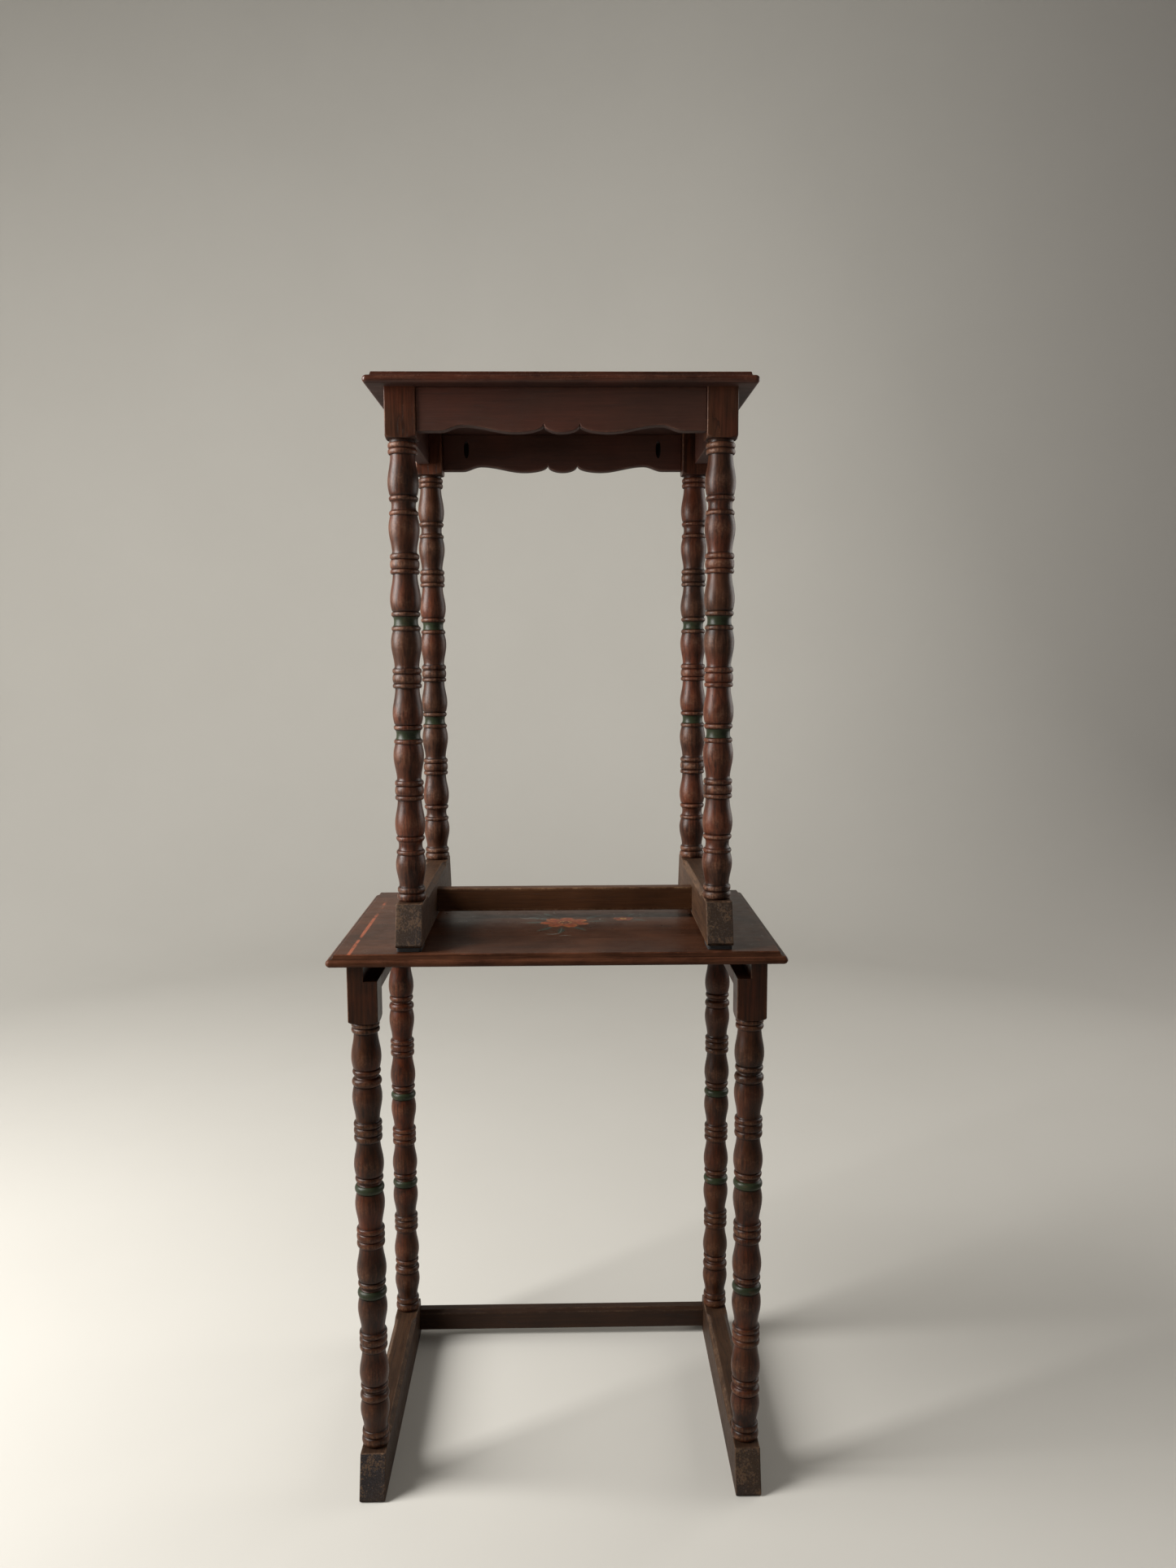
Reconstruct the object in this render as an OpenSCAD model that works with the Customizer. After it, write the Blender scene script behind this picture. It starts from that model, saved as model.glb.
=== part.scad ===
// A nest of two occasional tables with turned legs on sled feet, shown with the
// small table standing on the large one. Origin: on the floor under the centre
// of the large table, front towards -Y, +Z up.

/* [Large table] */
// Width of the large top, left to right
large_w = 500; // [470:5:540]
// Depth of the large top, front to back
large_d = 346; // [330:2:370]
// Height of the large table
large_h = 632; // [580:2:680]
// Length of the square block at the head of a large leg
large_block_h = 68; // [60:1:80]
// Overhang of the large top past the legs, at the front and back
large_overhang = 17; // [12:1:22]

/* [Small table] */
// Width of the small top, left to right
small_w = 412; // [380:2:414]
// Depth of the small top, front to back
small_d = 332; // [320:2:340]
// Height of the small table, pads included
small_h = 613; // [570:1:613]
// Length of the square block at the head of a small leg
small_block_h = 52; // [46:1:60]
// Overhang of the small top past the legs, at the front and back
small_overhang = 18; // [12:1:22]
// How far right of centre the small table stands
stack_x = 8; // [0:1:12]
// How far behind centre the small table stands
stack_y = 8; // [0:1:8]

/* [Tops] */
// Thickness of both tops
top_t = 13; // [12:0.5:16]
// Overhang of both tops past the legs, at the sides
side_overhang = 20; // [16:1:24]
// Radius of the round nose along the edge
nose_r = 4.3; // [3.5:0.1:5]
// Radius of the small cove above the nose
cove_r = 3; // [2:0.1:3.5]
// Radius of the corners, seen from above
corner_r = 5; // [3:0.5:9]

/* [Legs] */
// Side of the square that the legs are turned from
leg_sq = 33; // [30:0.5:36]
// Largest radius of the vase shapes
vase_r = 16.6; // [15:0.1:17.5]
// Radius of the thin rings
ring_r = 15.7; // [14.5:0.1:17]
// Radius at the necks, valleys and coves
neck_r = 13.2; // [11.5:0.1:14]
// Diameter of the round tenon at the foot of a leg
tenon_d = 16; // [12:0.5:20]
// Length of the round tenon
tenon_l = 26; // [18:1:32]

/* [Feet] */
// Width of a sled foot
foot_w = 29; // [26:0.5:32]
// Height of a large table's foot
large_foot_h = 50; // [44:1:56]
// Height of a small table's foot, without its pads
small_foot_h = 46; // [40:1:52]
// How far a toe reaches in front of the leg block, at the floor
toe_reach = 20; // [14:1:24]
// How far the end of a foot leans back from toe to top
toe_rake = 14; // [6:1:16]
// Width of the stopped chamfers along the top of a foot
foot_chamfer = 5; // [3:0.5:6]
// Thickness of the pads under the small table's toes
pad_t = 5; // [3:0.5:6]
// Length of those pads
pad_l = 34; // [24:1:44]

/* [Rails] */
// Thickness of the aprons and of the large table's rear rail
apron_t = 15; // [13:0.5:18]
// How far the rails sit in from the outer face of the leg blocks
rail_inset = 2; // [1:0.5:4]
// Depth of the scalloped aprons at their ends
apron_h = 45; // [42:0.5:48]
// Depth of the small table's plain side aprons
side_apron_h = 39; // [34:0.5:44]
// Thickness of the large table's grooved side rails
side_rail_t = 24; // [22:0.5:26]
// Depth of the large table's side rails
side_rail_h = 35; // [33:0.5:40]
// Depth of the large table's rear rail
rear_rail_h = 50; // [44:1:60]
// Width of the groove that guides the small top, cut into legs and side rails
groove_w = 15; // [10:0.5:16]
// Height of that groove below the large top
groove_h = 20; // [18:0.5:22]
// Length of the tenons on rails and stretchers
rail_tenon_l = 10; // [8:0.5:12]

/* [Stretchers] */
// Height of a stretcher
stretcher_h = 28; // [22:1:32]
// Thickness of a stretcher
stretcher_t = 16; // [12:0.5:18]
// Height of a stretcher's underside above the bottom of its feet
stretcher_z = 10; // [6:0.5:14]
// Chamfer along the top front edge of the large stretcher
stretcher_chamfer = 4; // [2:0.5:6]

/* [Fixings] */
// Diameter of the dowels between large legs and large top
dowel_d = 8; // [6:0.5:8]
// Length of those dowels
dowel_l = 23; // [18:1:24]
// Half of the spacing of the pocket screws along an apron
screw_x = 123; // [110:1:124]
// Lean of the pocket screws from upright
screw_lean = 18; // [15:1:20]

/* [Hidden] */

slack = 0.15;       // play around a tenon, a dowel or a screw
turn_fn = 64;
eps = 0.5;          // how far a cutter runs past a face

// Outer faces of the leg blocks, and centres of the legs
large_block_x = large_w / 2 - side_overhang;
large_block_y = large_d / 2 - large_overhang;
small_block_x = small_w / 2 - side_overhang;
small_block_y = small_d / 2 - small_overhang;
large_leg_x = large_block_x - leg_sq / 2;
large_leg_y = large_block_y - leg_sq / 2;
small_leg_x = small_block_x - leg_sq / 2;
small_leg_y = small_block_y - leg_sq / 2;

// Undersides of the tops, and upper faces of the feet
large_under = large_h - top_t;
small_under = small_h - top_t;
small_foot_top = small_foot_h + pad_t;

// Heights of the turned shapes, top to bottom along a leg
ring_h = 6.3;
thin_ring_h = 6;
thin_cove_h = 3.8;
fat_bead_h = 9.6;
green_cove_h = 10.2;
green_ring_h = 5.2;     // ring either side of the green cove
large_group_h = [6.4, 9, 7.6];      // rings of a group between two vases
small_group_h = [6, 10.4, 5.2];
foot_ring_h = 8;
cushion_h = 11;
small_foot_ring_h = 6.8;
small_cushion_h = 9;
small_neck_h = 3.2; // plain neck under the block of a small leg
small_first_extra = 3;  // by which the first vase of a leg is longer than the others
large_first_extra = 1;
small_last_less = 4;    // by which the last vase of a leg is shorter
large_last_less = 5;

// Their radii, beside those of the Legs section
fat_r = 16.5;
small_bead_r = 15.8;
foot_ring_r = 15.3;
cushion_r = 15.9;
vase_end_r = 14.6;
cove_r_at_leg = 12.9;
bulb_at = 0.68;     // height of the bulb along a vase, from its neck
bead_steps = 6;     // straight runs in one bead, ring or cove
vase_steps = 12;    // straight runs in one vase

// Flat between the nose of a top and the cove above it
quirk = 0.6;

// Rounded lower end of a leg block
shoulder_h = 6;
corner_reach = leg_sq * 0.72;

// Tenons on rails and stretchers
rail_tenon_t = 6;
tenon_edge = 6;     // wood left above and below a tenon
thin_edge = 3;      // the same on the shallow rails of the large table

dowel_rise = 9;     // dowel inside the top

// Pocket screws: the pocket's mouth is centred pocket_drop below the top
pocket_drop = 19;
pocket_d = 6.6;
screw_d = 3.2;
screw_head_d = 6;
screw_head_h = 2.5;
screw_seat = 7;     // apron left above the head, along the screw
screw_bite = 8;     // screw in the top, along the screw
screw_reach = pocket_drop / cos(screw_lean);

// Scalloped edge: places of its features either side of the middle, and its rises
scallop_end = 129;
scallop_peak = 105;
scallop_low = 49;
scallop_cusp = 19;
peak_rise = 6;
cusp_rise = 7;
low_drop = 1.4;
scallop_steps = 8;

// ---------- turned legs ----------

// Points of a round bead (r1 > r0) or a cove (r1 < r0) from height z down
function bead(z, h, r0, r1) = [
    for (i = [0 : bead_steps - 1])
        let (a = 180 * i / bead_steps)
        [r0 + (r1 - r0) * sin(a), z - h * (1 - cos(a)) / 2]
];

// Radius of a vase at t, from its neck (0) to below its bulb (1)
function vase_radius(t) =
    t < bulb_at
        ? neck_r + (vase_r - neck_r) * (1 - cos(180 * t / bulb_at)) / 2
        : vase_end_r + (vase_r - vase_end_r) * cos(90 * (t - bulb_at) / (1 - bulb_at));

function vase(z, h, upright) = [
    for (i = [0 : vase_steps - 1])
        let (t = i / vase_steps)
        [vase_radius(upright ? t : 1 - t), z - h * t]
];

function turned_shape(kind, z, h) =
    kind == "vase" ? vase(z, h, true)
    : kind == "upturned vase" ? vase(z, h, false)
    : kind == "fat bead" ? bead(z, h, neck_r, fat_r)
    : kind == "cove" ? bead(z, h, ring_r - 1, cove_r_at_leg)
    : kind == "small bead" ? bead(z, h, neck_r + 0.8, small_bead_r)
    : kind == "foot ring" ? bead(z, h, neck_r + 0.4, foot_ring_r)
    : kind == "cushion" ? bead(z, h, neck_r + 0.4, cushion_r)
    : kind == "neck" ? [[neck_r + 0.6, z]]
    : bead(z, h, neck_r + 0.6, ring_r);

// Each of the four repeats on a leg is a vase, a band, an upturned vase and a group of three rings
large_band = [["ring", thin_ring_h], ["cove", thin_cove_h], ["fat bead", fat_bead_h]];
small_band = [["ring", green_ring_h], ["cove", green_cove_h], ["ring", green_ring_h]];
large_group = [for (h = large_group_h) ["small bead", h]];
small_group = [for (h = small_group_h) ["small bead", h]];
large_start = [["ring", ring_h], ["ring", ring_h]];
small_start = concat([["neck", small_neck_h]], large_start);
large_end = [["foot ring", foot_ring_h], ["cushion", cushion_h]];
small_end = [["foot ring", small_foot_ring_h], ["cushion", small_cushion_h]];

// Height of the first n shapes of a list
function height_of(shapes, n) = n == 0 ? 0 : shapes[n - 1][1] + height_of(shapes, n - 1);

// All shapes on a leg, from the block down; the vases take up what is left
function leg_shapes(length, start, band, group, end, first_extra, last_less) =
    let (
        fixed = height_of(start, len(start)) + 4 * height_of(band, 3)
            + 3 * height_of(group, 3) + height_of(end, 2),
        vase_h = (length - fixed - first_extra + last_less) / 8
    )
    concat(start, [
        for (repeat = [1 : 4]) each concat(
            [["vase", vase_h + (repeat == 1 ? first_extra : 0)]], band,
            [["upturned vase", vase_h - (repeat == 4 ? last_less : 0)]],
            repeat < 4 ? group : end
        )
    ]);

large_shapes = leg_shapes(
    large_under - large_block_h - large_foot_h,
    large_start, large_band, large_group, large_end, large_first_extra, large_last_less
);
small_shapes = leg_shapes(
    small_under - small_block_h - small_foot_top,
    small_start, small_band, small_group, small_end, small_first_extra, small_last_less
);

// Turned shaft from z = 0 down, its top run_in up inside the block
module turned_shaft(shapes) {
    run_in = 3;
    length = height_of(shapes, len(shapes));
    outline = [
        for (i = [0 : len(shapes) - 1])
            each turned_shape(shapes[i][0], -height_of(shapes, i), shapes[i][1])
    ];
    rotate_extrude($fn = turn_fn)
        polygon(concat(
            [[0, run_in], [neck_r, run_in]], outline, [[neck_r, -length], [0, -length]]
        ));
}

// Square block from z = 0 up, with its lower end rounded over by the lathe
module leg_block(height) {
    intersection() {
        translate([-leg_sq / 2, -leg_sq / 2, 0])
            cube([leg_sq, leg_sq, height]);
        rotate_extrude($fn = turn_fn)
            polygon(concat(
                [[0, 0]],
                [
                    for (i = [0 : 4])
                        let (a = 90 * i / 4, r0 = leg_sq / 2)
                        [r0 + (corner_reach - r0) * sin(a), shoulder_h * (1 - cos(a))]
                ],
                [[corner_reach, height], [0, height]]
            ));
    }
}

// Leg on its own axis: block, shaft and the round tenon that enters the foot
module leg(under, block_h, foot_top, shapes) {
    translate([0, 0, under - block_h]) {
        leg_block(block_h);
        turned_shaft(shapes);
    }
    translate([0, 0, foot_top - tenon_l])
        cylinder(d = tenon_d, h = tenon_l + 1, $fn = turn_fn);
}

// ---------- tops ----------

// Right half of a board's section: round the nose, then the cove, then the top
function edge_outline(half) = concat(
    [
        for (i = [0 : 8])
            let (a = -90 + 180 * i / 8)
            [half - nose_r + nose_r * cos(a), nose_r + nose_r * sin(a)]
    ],
    [
        for (i = [0 : 4])
            let (a = 90 * i / 4)
            [
                half - nose_r - quirk - cove_r * sin(a),
                2 * nose_r + cove_r * (1 - cos(a))
            ]
    ],
    [[half - nose_r - quirk - cove_r - 1, top_t]]
);

module board_along_y(half, length) {
    right = edge_outline(half);
    rotate([90, 0, 0])
        linear_extrude(height = length, center = true)
            polygon(concat(
                right,
                [for (i = [len(right) - 1 : -1 : 0]) [-right[i][0], right[i][1]]]
            ));
}

module moulded_board(w, d) {
    intersection() {
        board_along_y(w / 2, d + 20);
        rotate([0, 0, 90])
            board_along_y(d / 2, w + 20);
        linear_extrude(height = top_t)
            union() {
                square([w - 2 * corner_r, d], center = true);
                square([w, d - 2 * corner_r], center = true);
                for (sx = [-1, 1], sy = [-1, 1])
                    translate([sx * (w / 2 - corner_r), sy * (d / 2 - corner_r)])
                        circle(r = corner_r, $fn = 48);
            }
    }
}

// ---------- feet, stretchers and rails ----------

// Cutter for a stopped chamfer along Y, on an edge through the origin that faces +X
module stopped_chamfer(length, size) {
    deep = size / sqrt(2);
    run_out = 9;    // length of the curved stop at each end
    rotate([0, 45, 0])
        rotate([90, 0, 90])
            linear_extrude(height = 4 * size, center = true)
                polygon([
                    [-length / 2, 0], [-length / 2 + run_out, -deep],
                    [length / 2 - run_out, -deep], [length / 2, 0],
                    [length / 2, 3 * size], [-length / 2, 3 * size]
                ]);
}

// Sled foot centred on x = 0, underside at z = 0
module sled_foot(height, block_y, leg_y) {
    toe = block_y + toe_reach;
    toe_round = 3;
    block_gap = 8;  // from a leg block's inner face to the stop of a chamfer
    difference() {
        rotate([90, 0, 90])
            linear_extrude(height = foot_w, center = true)
                polygon([
                    [-toe + toe_round, 0], [toe - toe_round, 0],
                    [toe, toe_round], [toe - toe_rake, height],
                    [-toe + toe_rake, height], [-toe, toe_round]
                ]);
        for (turn = [0, 180])
            rotate([0, 0, turn])
                translate([foot_w / 2, 0, height])
                    stopped_chamfer(2 * (leg_y - leg_sq / 2 - block_gap), foot_chamfer);
        for (end = [-1, 1])
            translate([0, end * leg_y, height - tenon_l - eps])
                cylinder(d = tenon_d + 2 * slack, h = tenon_l + 2 * eps, $fn = turn_fn);
    }
}

// Tenons at both ends of a rail along X, in the rail's middle plane y = 0
module end_tenons(length, z_low, z_high, play) {
    for (side = [-1, 1])
        translate([
            side * (length + rail_tenon_l) / 2, 0, (z_low + z_high) / 2
        ])
            cube([
                rail_tenon_l + 2 * play, rail_tenon_t + 2 * play, z_high - z_low + 2 * play
            ], center = true);
}

// Plain rail along X with its tenons, its underside at z = 0
module rail(length, thick, depth) {
    translate([-length / 2, -thick / 2, 0])
        cube([length, thick, depth]);
    end_tenons(length, tenon_edge, depth - tenon_edge, 0);
}

// ---------- the large table ----------

large_rail_span = 2 * (large_block_y - leg_sq);
large_rear_span = 2 * (large_block_x - leg_sq);
large_foot_gap = 2 * large_leg_x - foot_w;
large_inner_x = large_block_x - leg_sq;
large_ledge_h = side_rail_h - groove_h;
rear_rail_y = large_block_y - rail_inset - apron_t / 2;
stretcher_set_back = 11;    // from the rear toes to the stretcher's rear face
large_stretcher_y = large_block_y + toe_reach - stretcher_set_back - stretcher_t / 2;

// Groove that runs through the front legs and side rails, up to the rear rail
module guide_grooves() {
    front = -large_block_y - eps;
    back = rear_rail_y - apron_t / 2;
    for (turn = [0, 1])
        mirror([turn, 0, 0])
            translate([large_inner_x - eps, front, large_under - groove_h])
                cube([groove_w + eps, back - front, groove_h + eps]);
}

module large_side_tenons(play) {
    for (turn = [90, -90])
        rotate([0, 0, turn])
            translate([0, large_inner_x + side_rail_t / 2, large_under - side_rail_h])
                end_tenons(large_rail_span, thin_edge, large_ledge_h - thin_edge, play);
}

module large_rear_tenons(play) {
    translate([0, rear_rail_y, large_under - rear_rail_h])
        end_tenons(large_rear_span, tenon_edge, rear_rail_h - groove_h - thin_edge, play);
}

module large_stretcher_tenons(play) {
    translate([0, large_stretcher_y, stretcher_z])
        end_tenons(large_foot_gap, tenon_edge, stretcher_h - tenon_edge, play);
}

module large_dowels(play) {
    for (sx = [-1, 1], sy = [-1, 1])
        translate([
            sx * (large_block_x - (leg_sq - groove_w) / 2), sy * large_leg_y,
            large_under + dowel_rise - dowel_l - play
        ])
            cylinder(d = dowel_d + 2 * play, h = dowel_l + 2 * play, $fn = 32);
}

module large_top() {
    color("#3f2119")
        difference() {
            translate([0, 0, large_under])
                moulded_board(large_w, large_d);
            large_dowels(slack);
        }
}

// sx and sy are -1 or 1: left or right, front or rear
module large_leg(sx, sy) {
    color("#4b3324")
        difference() {
            translate([sx * large_leg_x, sy * large_leg_y, 0])
                leg(large_under, large_block_h, large_foot_h, large_shapes);
            guide_grooves();
            large_side_tenons(slack);
            large_rear_tenons(slack);
            large_dowels(slack);
        }
}

module large_side_rail(sx) {
    color("#3a1f17") {
        difference() {
            translate([
                sx * (large_inner_x + side_rail_t / 2), 0, large_under - side_rail_h / 2
            ])
                cube([side_rail_t, large_rail_span, side_rail_h], center = true);
            guide_grooves();
        }
        intersection() {
            large_side_tenons(0);
            translate([sx * large_w / 2, 0, large_h / 2])
                cube([large_w, large_d, large_h], center = true);
        }
    }
}

module large_rear_rail() {
    color("#3a1f17") {
        translate([0, rear_rail_y, large_under - rear_rail_h / 2])
            cube([large_rear_span, apron_t, rear_rail_h], center = true);
        large_rear_tenons(0);
    }
}

module large_foot(sx) {
    color("#33231b")
        difference() {
            translate([sx * large_leg_x, 0, 0])
                sled_foot(large_foot_h, large_block_y, large_leg_y);
            large_stretcher_tenons(slack);
        }
}

module large_stretcher() {
    color("#3a261c")
        difference() {
            translate([0, large_stretcher_y, stretcher_z])
                rail(large_foot_gap, stretcher_t, stretcher_h);
            translate([0, large_stretcher_y - stretcher_t / 2, stretcher_z + stretcher_h])
                rotate([45, 0, 0])
                    cube([
                        large_foot_gap + 2 * eps, stretcher_chamfer * sqrt(2),
                        stretcher_chamfer * sqrt(2)
                    ], center = true);
        }
}

module large_top_dowels() {
    color("#b08a5a")
        large_dowels(0);
}

// ---------- the small table ----------

small_inner_x = small_block_x - leg_sq;
small_side_span = 2 * (small_block_y - leg_sq);
small_foot_gap = 2 * small_leg_x - foot_w;
small_apron_y = small_block_y - rail_inset - apron_t / 2;
small_side_x = small_block_x - rail_inset - apron_t / 2;

module on_large_table() {
    translate([stack_x, stack_y, large_h])
        children();
}

// The front apron's place and the rear apron's, each with its outer face towards -Y
module at_scalloped_apron(rear) {
    rotate([0, 0, rear ? 180 : 0])
        translate([0, -small_apron_y, small_under])
            children();
}

// Lines of the two pocket screws of an apron, z = 0 at the mouth of the pocket
module along_pocket_screws() {
    for (side = [-1, 1])
        translate([side * screw_x, apron_t / 2, -pocket_drop])
            rotate([screw_lean, 0, 0])
                children();
}

module pocket_holes() {
    along_pocket_screws() {
        translate([0, 0, -pocket_drop])
            cylinder(d = pocket_d, h = pocket_drop + screw_reach - screw_seat, $fn = 32);
        cylinder(d = screw_d + 2 * slack, h = screw_reach + screw_bite, $fn = 32);
    }
}

module pilot_holes() {
    along_pocket_screws()
        translate([0, 0, screw_reach - screw_bite])
            cylinder(d = screw_d + 2 * slack, h = 2 * screw_bite + eps, $fn = 32);
}

module pocket_screws() {
    along_pocket_screws()
        translate([0, 0, screw_reach - screw_seat]) {
            translate([0, 0, -screw_head_h])
                cylinder(d = screw_head_d, h = screw_head_h, $fn = 32);
            translate([0, 0, -eps])
                cylinder(d = screw_d, h = screw_seat + screw_bite + eps, $fn = 32);
        }
}

// Rise of the scalloped edge above its lowest straight part, at x from the middle
function scallop(x) =
    x >= scallop_peak
        ? peak_rise * (1 + cos(180 * (x - scallop_peak) / (scallop_end - scallop_peak))) / 2
    : x >= scallop_low
        ? (peak_rise - low_drop) / 2
            - (peak_rise + low_drop) / 2
                * cos(180 * (x - scallop_low) / (scallop_peak - scallop_low))
    : cusp_rise - (cusp_rise + low_drop) * sqrt(max(0, 1 - pow(
        x >= scallop_cusp
            ? (scallop_low - x) / (scallop_low - scallop_cusp)
            : x / scallop_cusp,
        2)));

// From the end of the scallop to the middle, closer together towards a cusp
scallop_stations = [
    for (i = [0 : scallop_steps - 1])
        scallop_end + (scallop_peak - scallop_end) * i / scallop_steps,
    for (i = [0 : scallop_steps - 1])
        scallop_peak + (scallop_low - scallop_peak) * i / scallop_steps,
    for (i = [0 : scallop_steps - 1])
        scallop_low + (scallop_cusp - scallop_low) * sin(90 * i / scallop_steps),
    for (i = [0 : scallop_steps - 1])
        scallop_cusp * cos(90 * i / scallop_steps)
];
scallop_half = [for (x = scallop_stations) [x, scallop(x) - apron_h]];

module scalloped_apron_tenons(play) {
    translate([0, 0, -apron_h])
        end_tenons(2 * small_inner_x, tenon_edge, apron_h - tenon_edge, play);
}

// Front or rear apron with its top at z = 0
module scalloped_apron() {
    count = len(scallop_half);
    difference() {
        rotate([90, 0, 0])
            linear_extrude(height = apron_t, center = true)
                polygon(concat(
                    [[-small_inner_x, 0], [-small_inner_x, -apron_h]],
                    [for (p = scallop_half) [-p[0], p[1]]],
                    [[0, -apron_h - low_drop]],
                    [for (i = [1 : count]) scallop_half[count - i]],
                    [[small_inner_x, -apron_h], [small_inner_x, 0]]
                ));
        pocket_holes();
    }
    scalloped_apron_tenons(0);
}

module small_apron_tenons(play) {
    for (rear = [false, true])
        at_scalloped_apron(rear)
            scalloped_apron_tenons(play);
}

module at_side_apron(sx) {
    translate([sx * small_side_x, 0, small_under - side_apron_h])
        rotate([0, 0, 90])
            children();
}

module small_side_tenons(play) {
    for (sx = [-1, 1])
        at_side_apron(sx)
            end_tenons(small_side_span, tenon_edge, side_apron_h - tenon_edge, play);
}

module small_stretcher_tenons(play) {
    translate([0, 0, stretcher_z])
        end_tenons(small_foot_gap, tenon_edge, stretcher_h - tenon_edge, play);
}

module small_top() {
    color("#3f2119")
        on_large_table()
            difference() {
                translate([0, 0, small_under])
                    moulded_board(small_w, small_d);
                for (rear = [false, true])
                    at_scalloped_apron(rear)
                        pilot_holes();
            }
}

module small_leg(sx, sy) {
    color("#4b3324")
        on_large_table()
            difference() {
                translate([sx * small_leg_x, sy * small_leg_y, 0])
                    leg(small_under, small_block_h, small_foot_top, small_shapes);
                small_apron_tenons(slack);
                small_side_tenons(slack);
            }
}

module small_apron(rear) {
    color("#3a1f17")
        on_large_table()
            at_scalloped_apron(rear)
                scalloped_apron();
}

module small_side_apron(sx) {
    color("#3a1f17")
        on_large_table()
            at_side_apron(sx)
                rail(small_side_span, apron_t, side_apron_h);
}

module small_foot(sx) {
    color("#33231b")
        on_large_table()
            difference() {
                translate([sx * small_leg_x, 0, pad_t])
                    sled_foot(small_foot_h, small_block_y, small_leg_y);
                small_stretcher_tenons(slack);
            }
}

module small_stretcher() {
    color("#3a261c")
        on_large_table()
            translate([0, 0, stretcher_z])
                rail(small_foot_gap, stretcher_t, stretcher_h);
}

module small_top_screws() {
    color("silver")
        on_large_table()
            for (rear = [false, true])
                at_scalloped_apron(rear)
                    pocket_screws();
}

// Four dark pads under the toes
module small_foot_pads() {
    inset = 1;
    toe = small_block_y + toe_reach - 3 * inset;
    color("#141212")
        on_large_table()
            for (sx = [-1, 1], sy = [-1, 1])
                translate([sx * small_leg_x, sy * (toe - pad_l / 2), pad_t / 2])
                    cube([foot_w - 2 * inset, pad_l, pad_t], center = true);
}

large_top();
large_leg(-1, -1);  // large_leg_front_left
large_leg(1, -1);  // large_leg_front_right
large_leg(-1, 1);  // large_leg_rear_left
large_leg(1, 1);  // large_leg_rear_right
large_side_rail(-1);  // large_side_rail_left
large_side_rail(1);  // large_side_rail_right
large_rear_rail();
large_foot(-1);  // large_foot_left
large_foot(1);  // large_foot_right
large_stretcher();
large_top_dowels();
small_top();
small_leg(-1, -1);  // small_leg_front_left
small_leg(1, -1);  // small_leg_front_right
small_leg(-1, 1);  // small_leg_rear_left
small_leg(1, 1);  // small_leg_rear_right
small_apron(false);  // small_front_apron
small_apron(true);  // small_rear_apron
small_side_apron(-1);  // small_side_apron_left
small_side_apron(1);  // small_side_apron_right
small_foot(-1);  // small_foot_left
small_foot(1);  // small_foot_right
small_stretcher();
small_top_screws();
small_foot_pads();
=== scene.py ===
"""Looks of a nest of two turned tables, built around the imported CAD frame.
Metres; +X right, front towards -Y, +Z up, origin on the floor under the large table."""

import math

import bpy
import numpy as np
from mathutils import Matrix, Vector, geometry, noise


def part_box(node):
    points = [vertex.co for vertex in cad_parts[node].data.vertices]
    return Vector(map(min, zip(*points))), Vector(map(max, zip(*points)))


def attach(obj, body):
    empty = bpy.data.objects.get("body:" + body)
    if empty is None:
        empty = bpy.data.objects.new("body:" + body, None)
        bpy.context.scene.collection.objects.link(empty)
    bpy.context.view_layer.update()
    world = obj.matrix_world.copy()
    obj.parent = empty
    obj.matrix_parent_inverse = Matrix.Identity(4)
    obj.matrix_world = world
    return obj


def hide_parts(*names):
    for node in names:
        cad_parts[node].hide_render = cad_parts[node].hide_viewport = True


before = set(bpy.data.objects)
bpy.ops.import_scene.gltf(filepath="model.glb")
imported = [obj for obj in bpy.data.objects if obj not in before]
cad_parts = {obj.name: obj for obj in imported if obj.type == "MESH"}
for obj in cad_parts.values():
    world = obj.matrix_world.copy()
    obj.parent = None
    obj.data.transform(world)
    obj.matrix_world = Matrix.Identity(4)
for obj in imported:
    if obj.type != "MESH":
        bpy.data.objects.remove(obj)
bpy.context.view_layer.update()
MM = 0.001

# ---------------------------------------------------------------- sizes shared by several pieces

LEG_SQ = 33 * MM
LARGE_BLOCK_H = 68 * MM
SMALL_BLOCK_H = 52 * MM
GROOVE_W = 15 * MM
GROOVE_H = 20 * MM
JOINT_LAP = 0.2 * MM       # by which a board runs into the piece it meets
ARRIS = 0.9 * MM           # rounding of a sawn edge
BUTT_EDGE = 0.3 * MM       # rounding of the end of a board that meets another piece

# ---------------------------------------------------------------- mesh helpers


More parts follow.
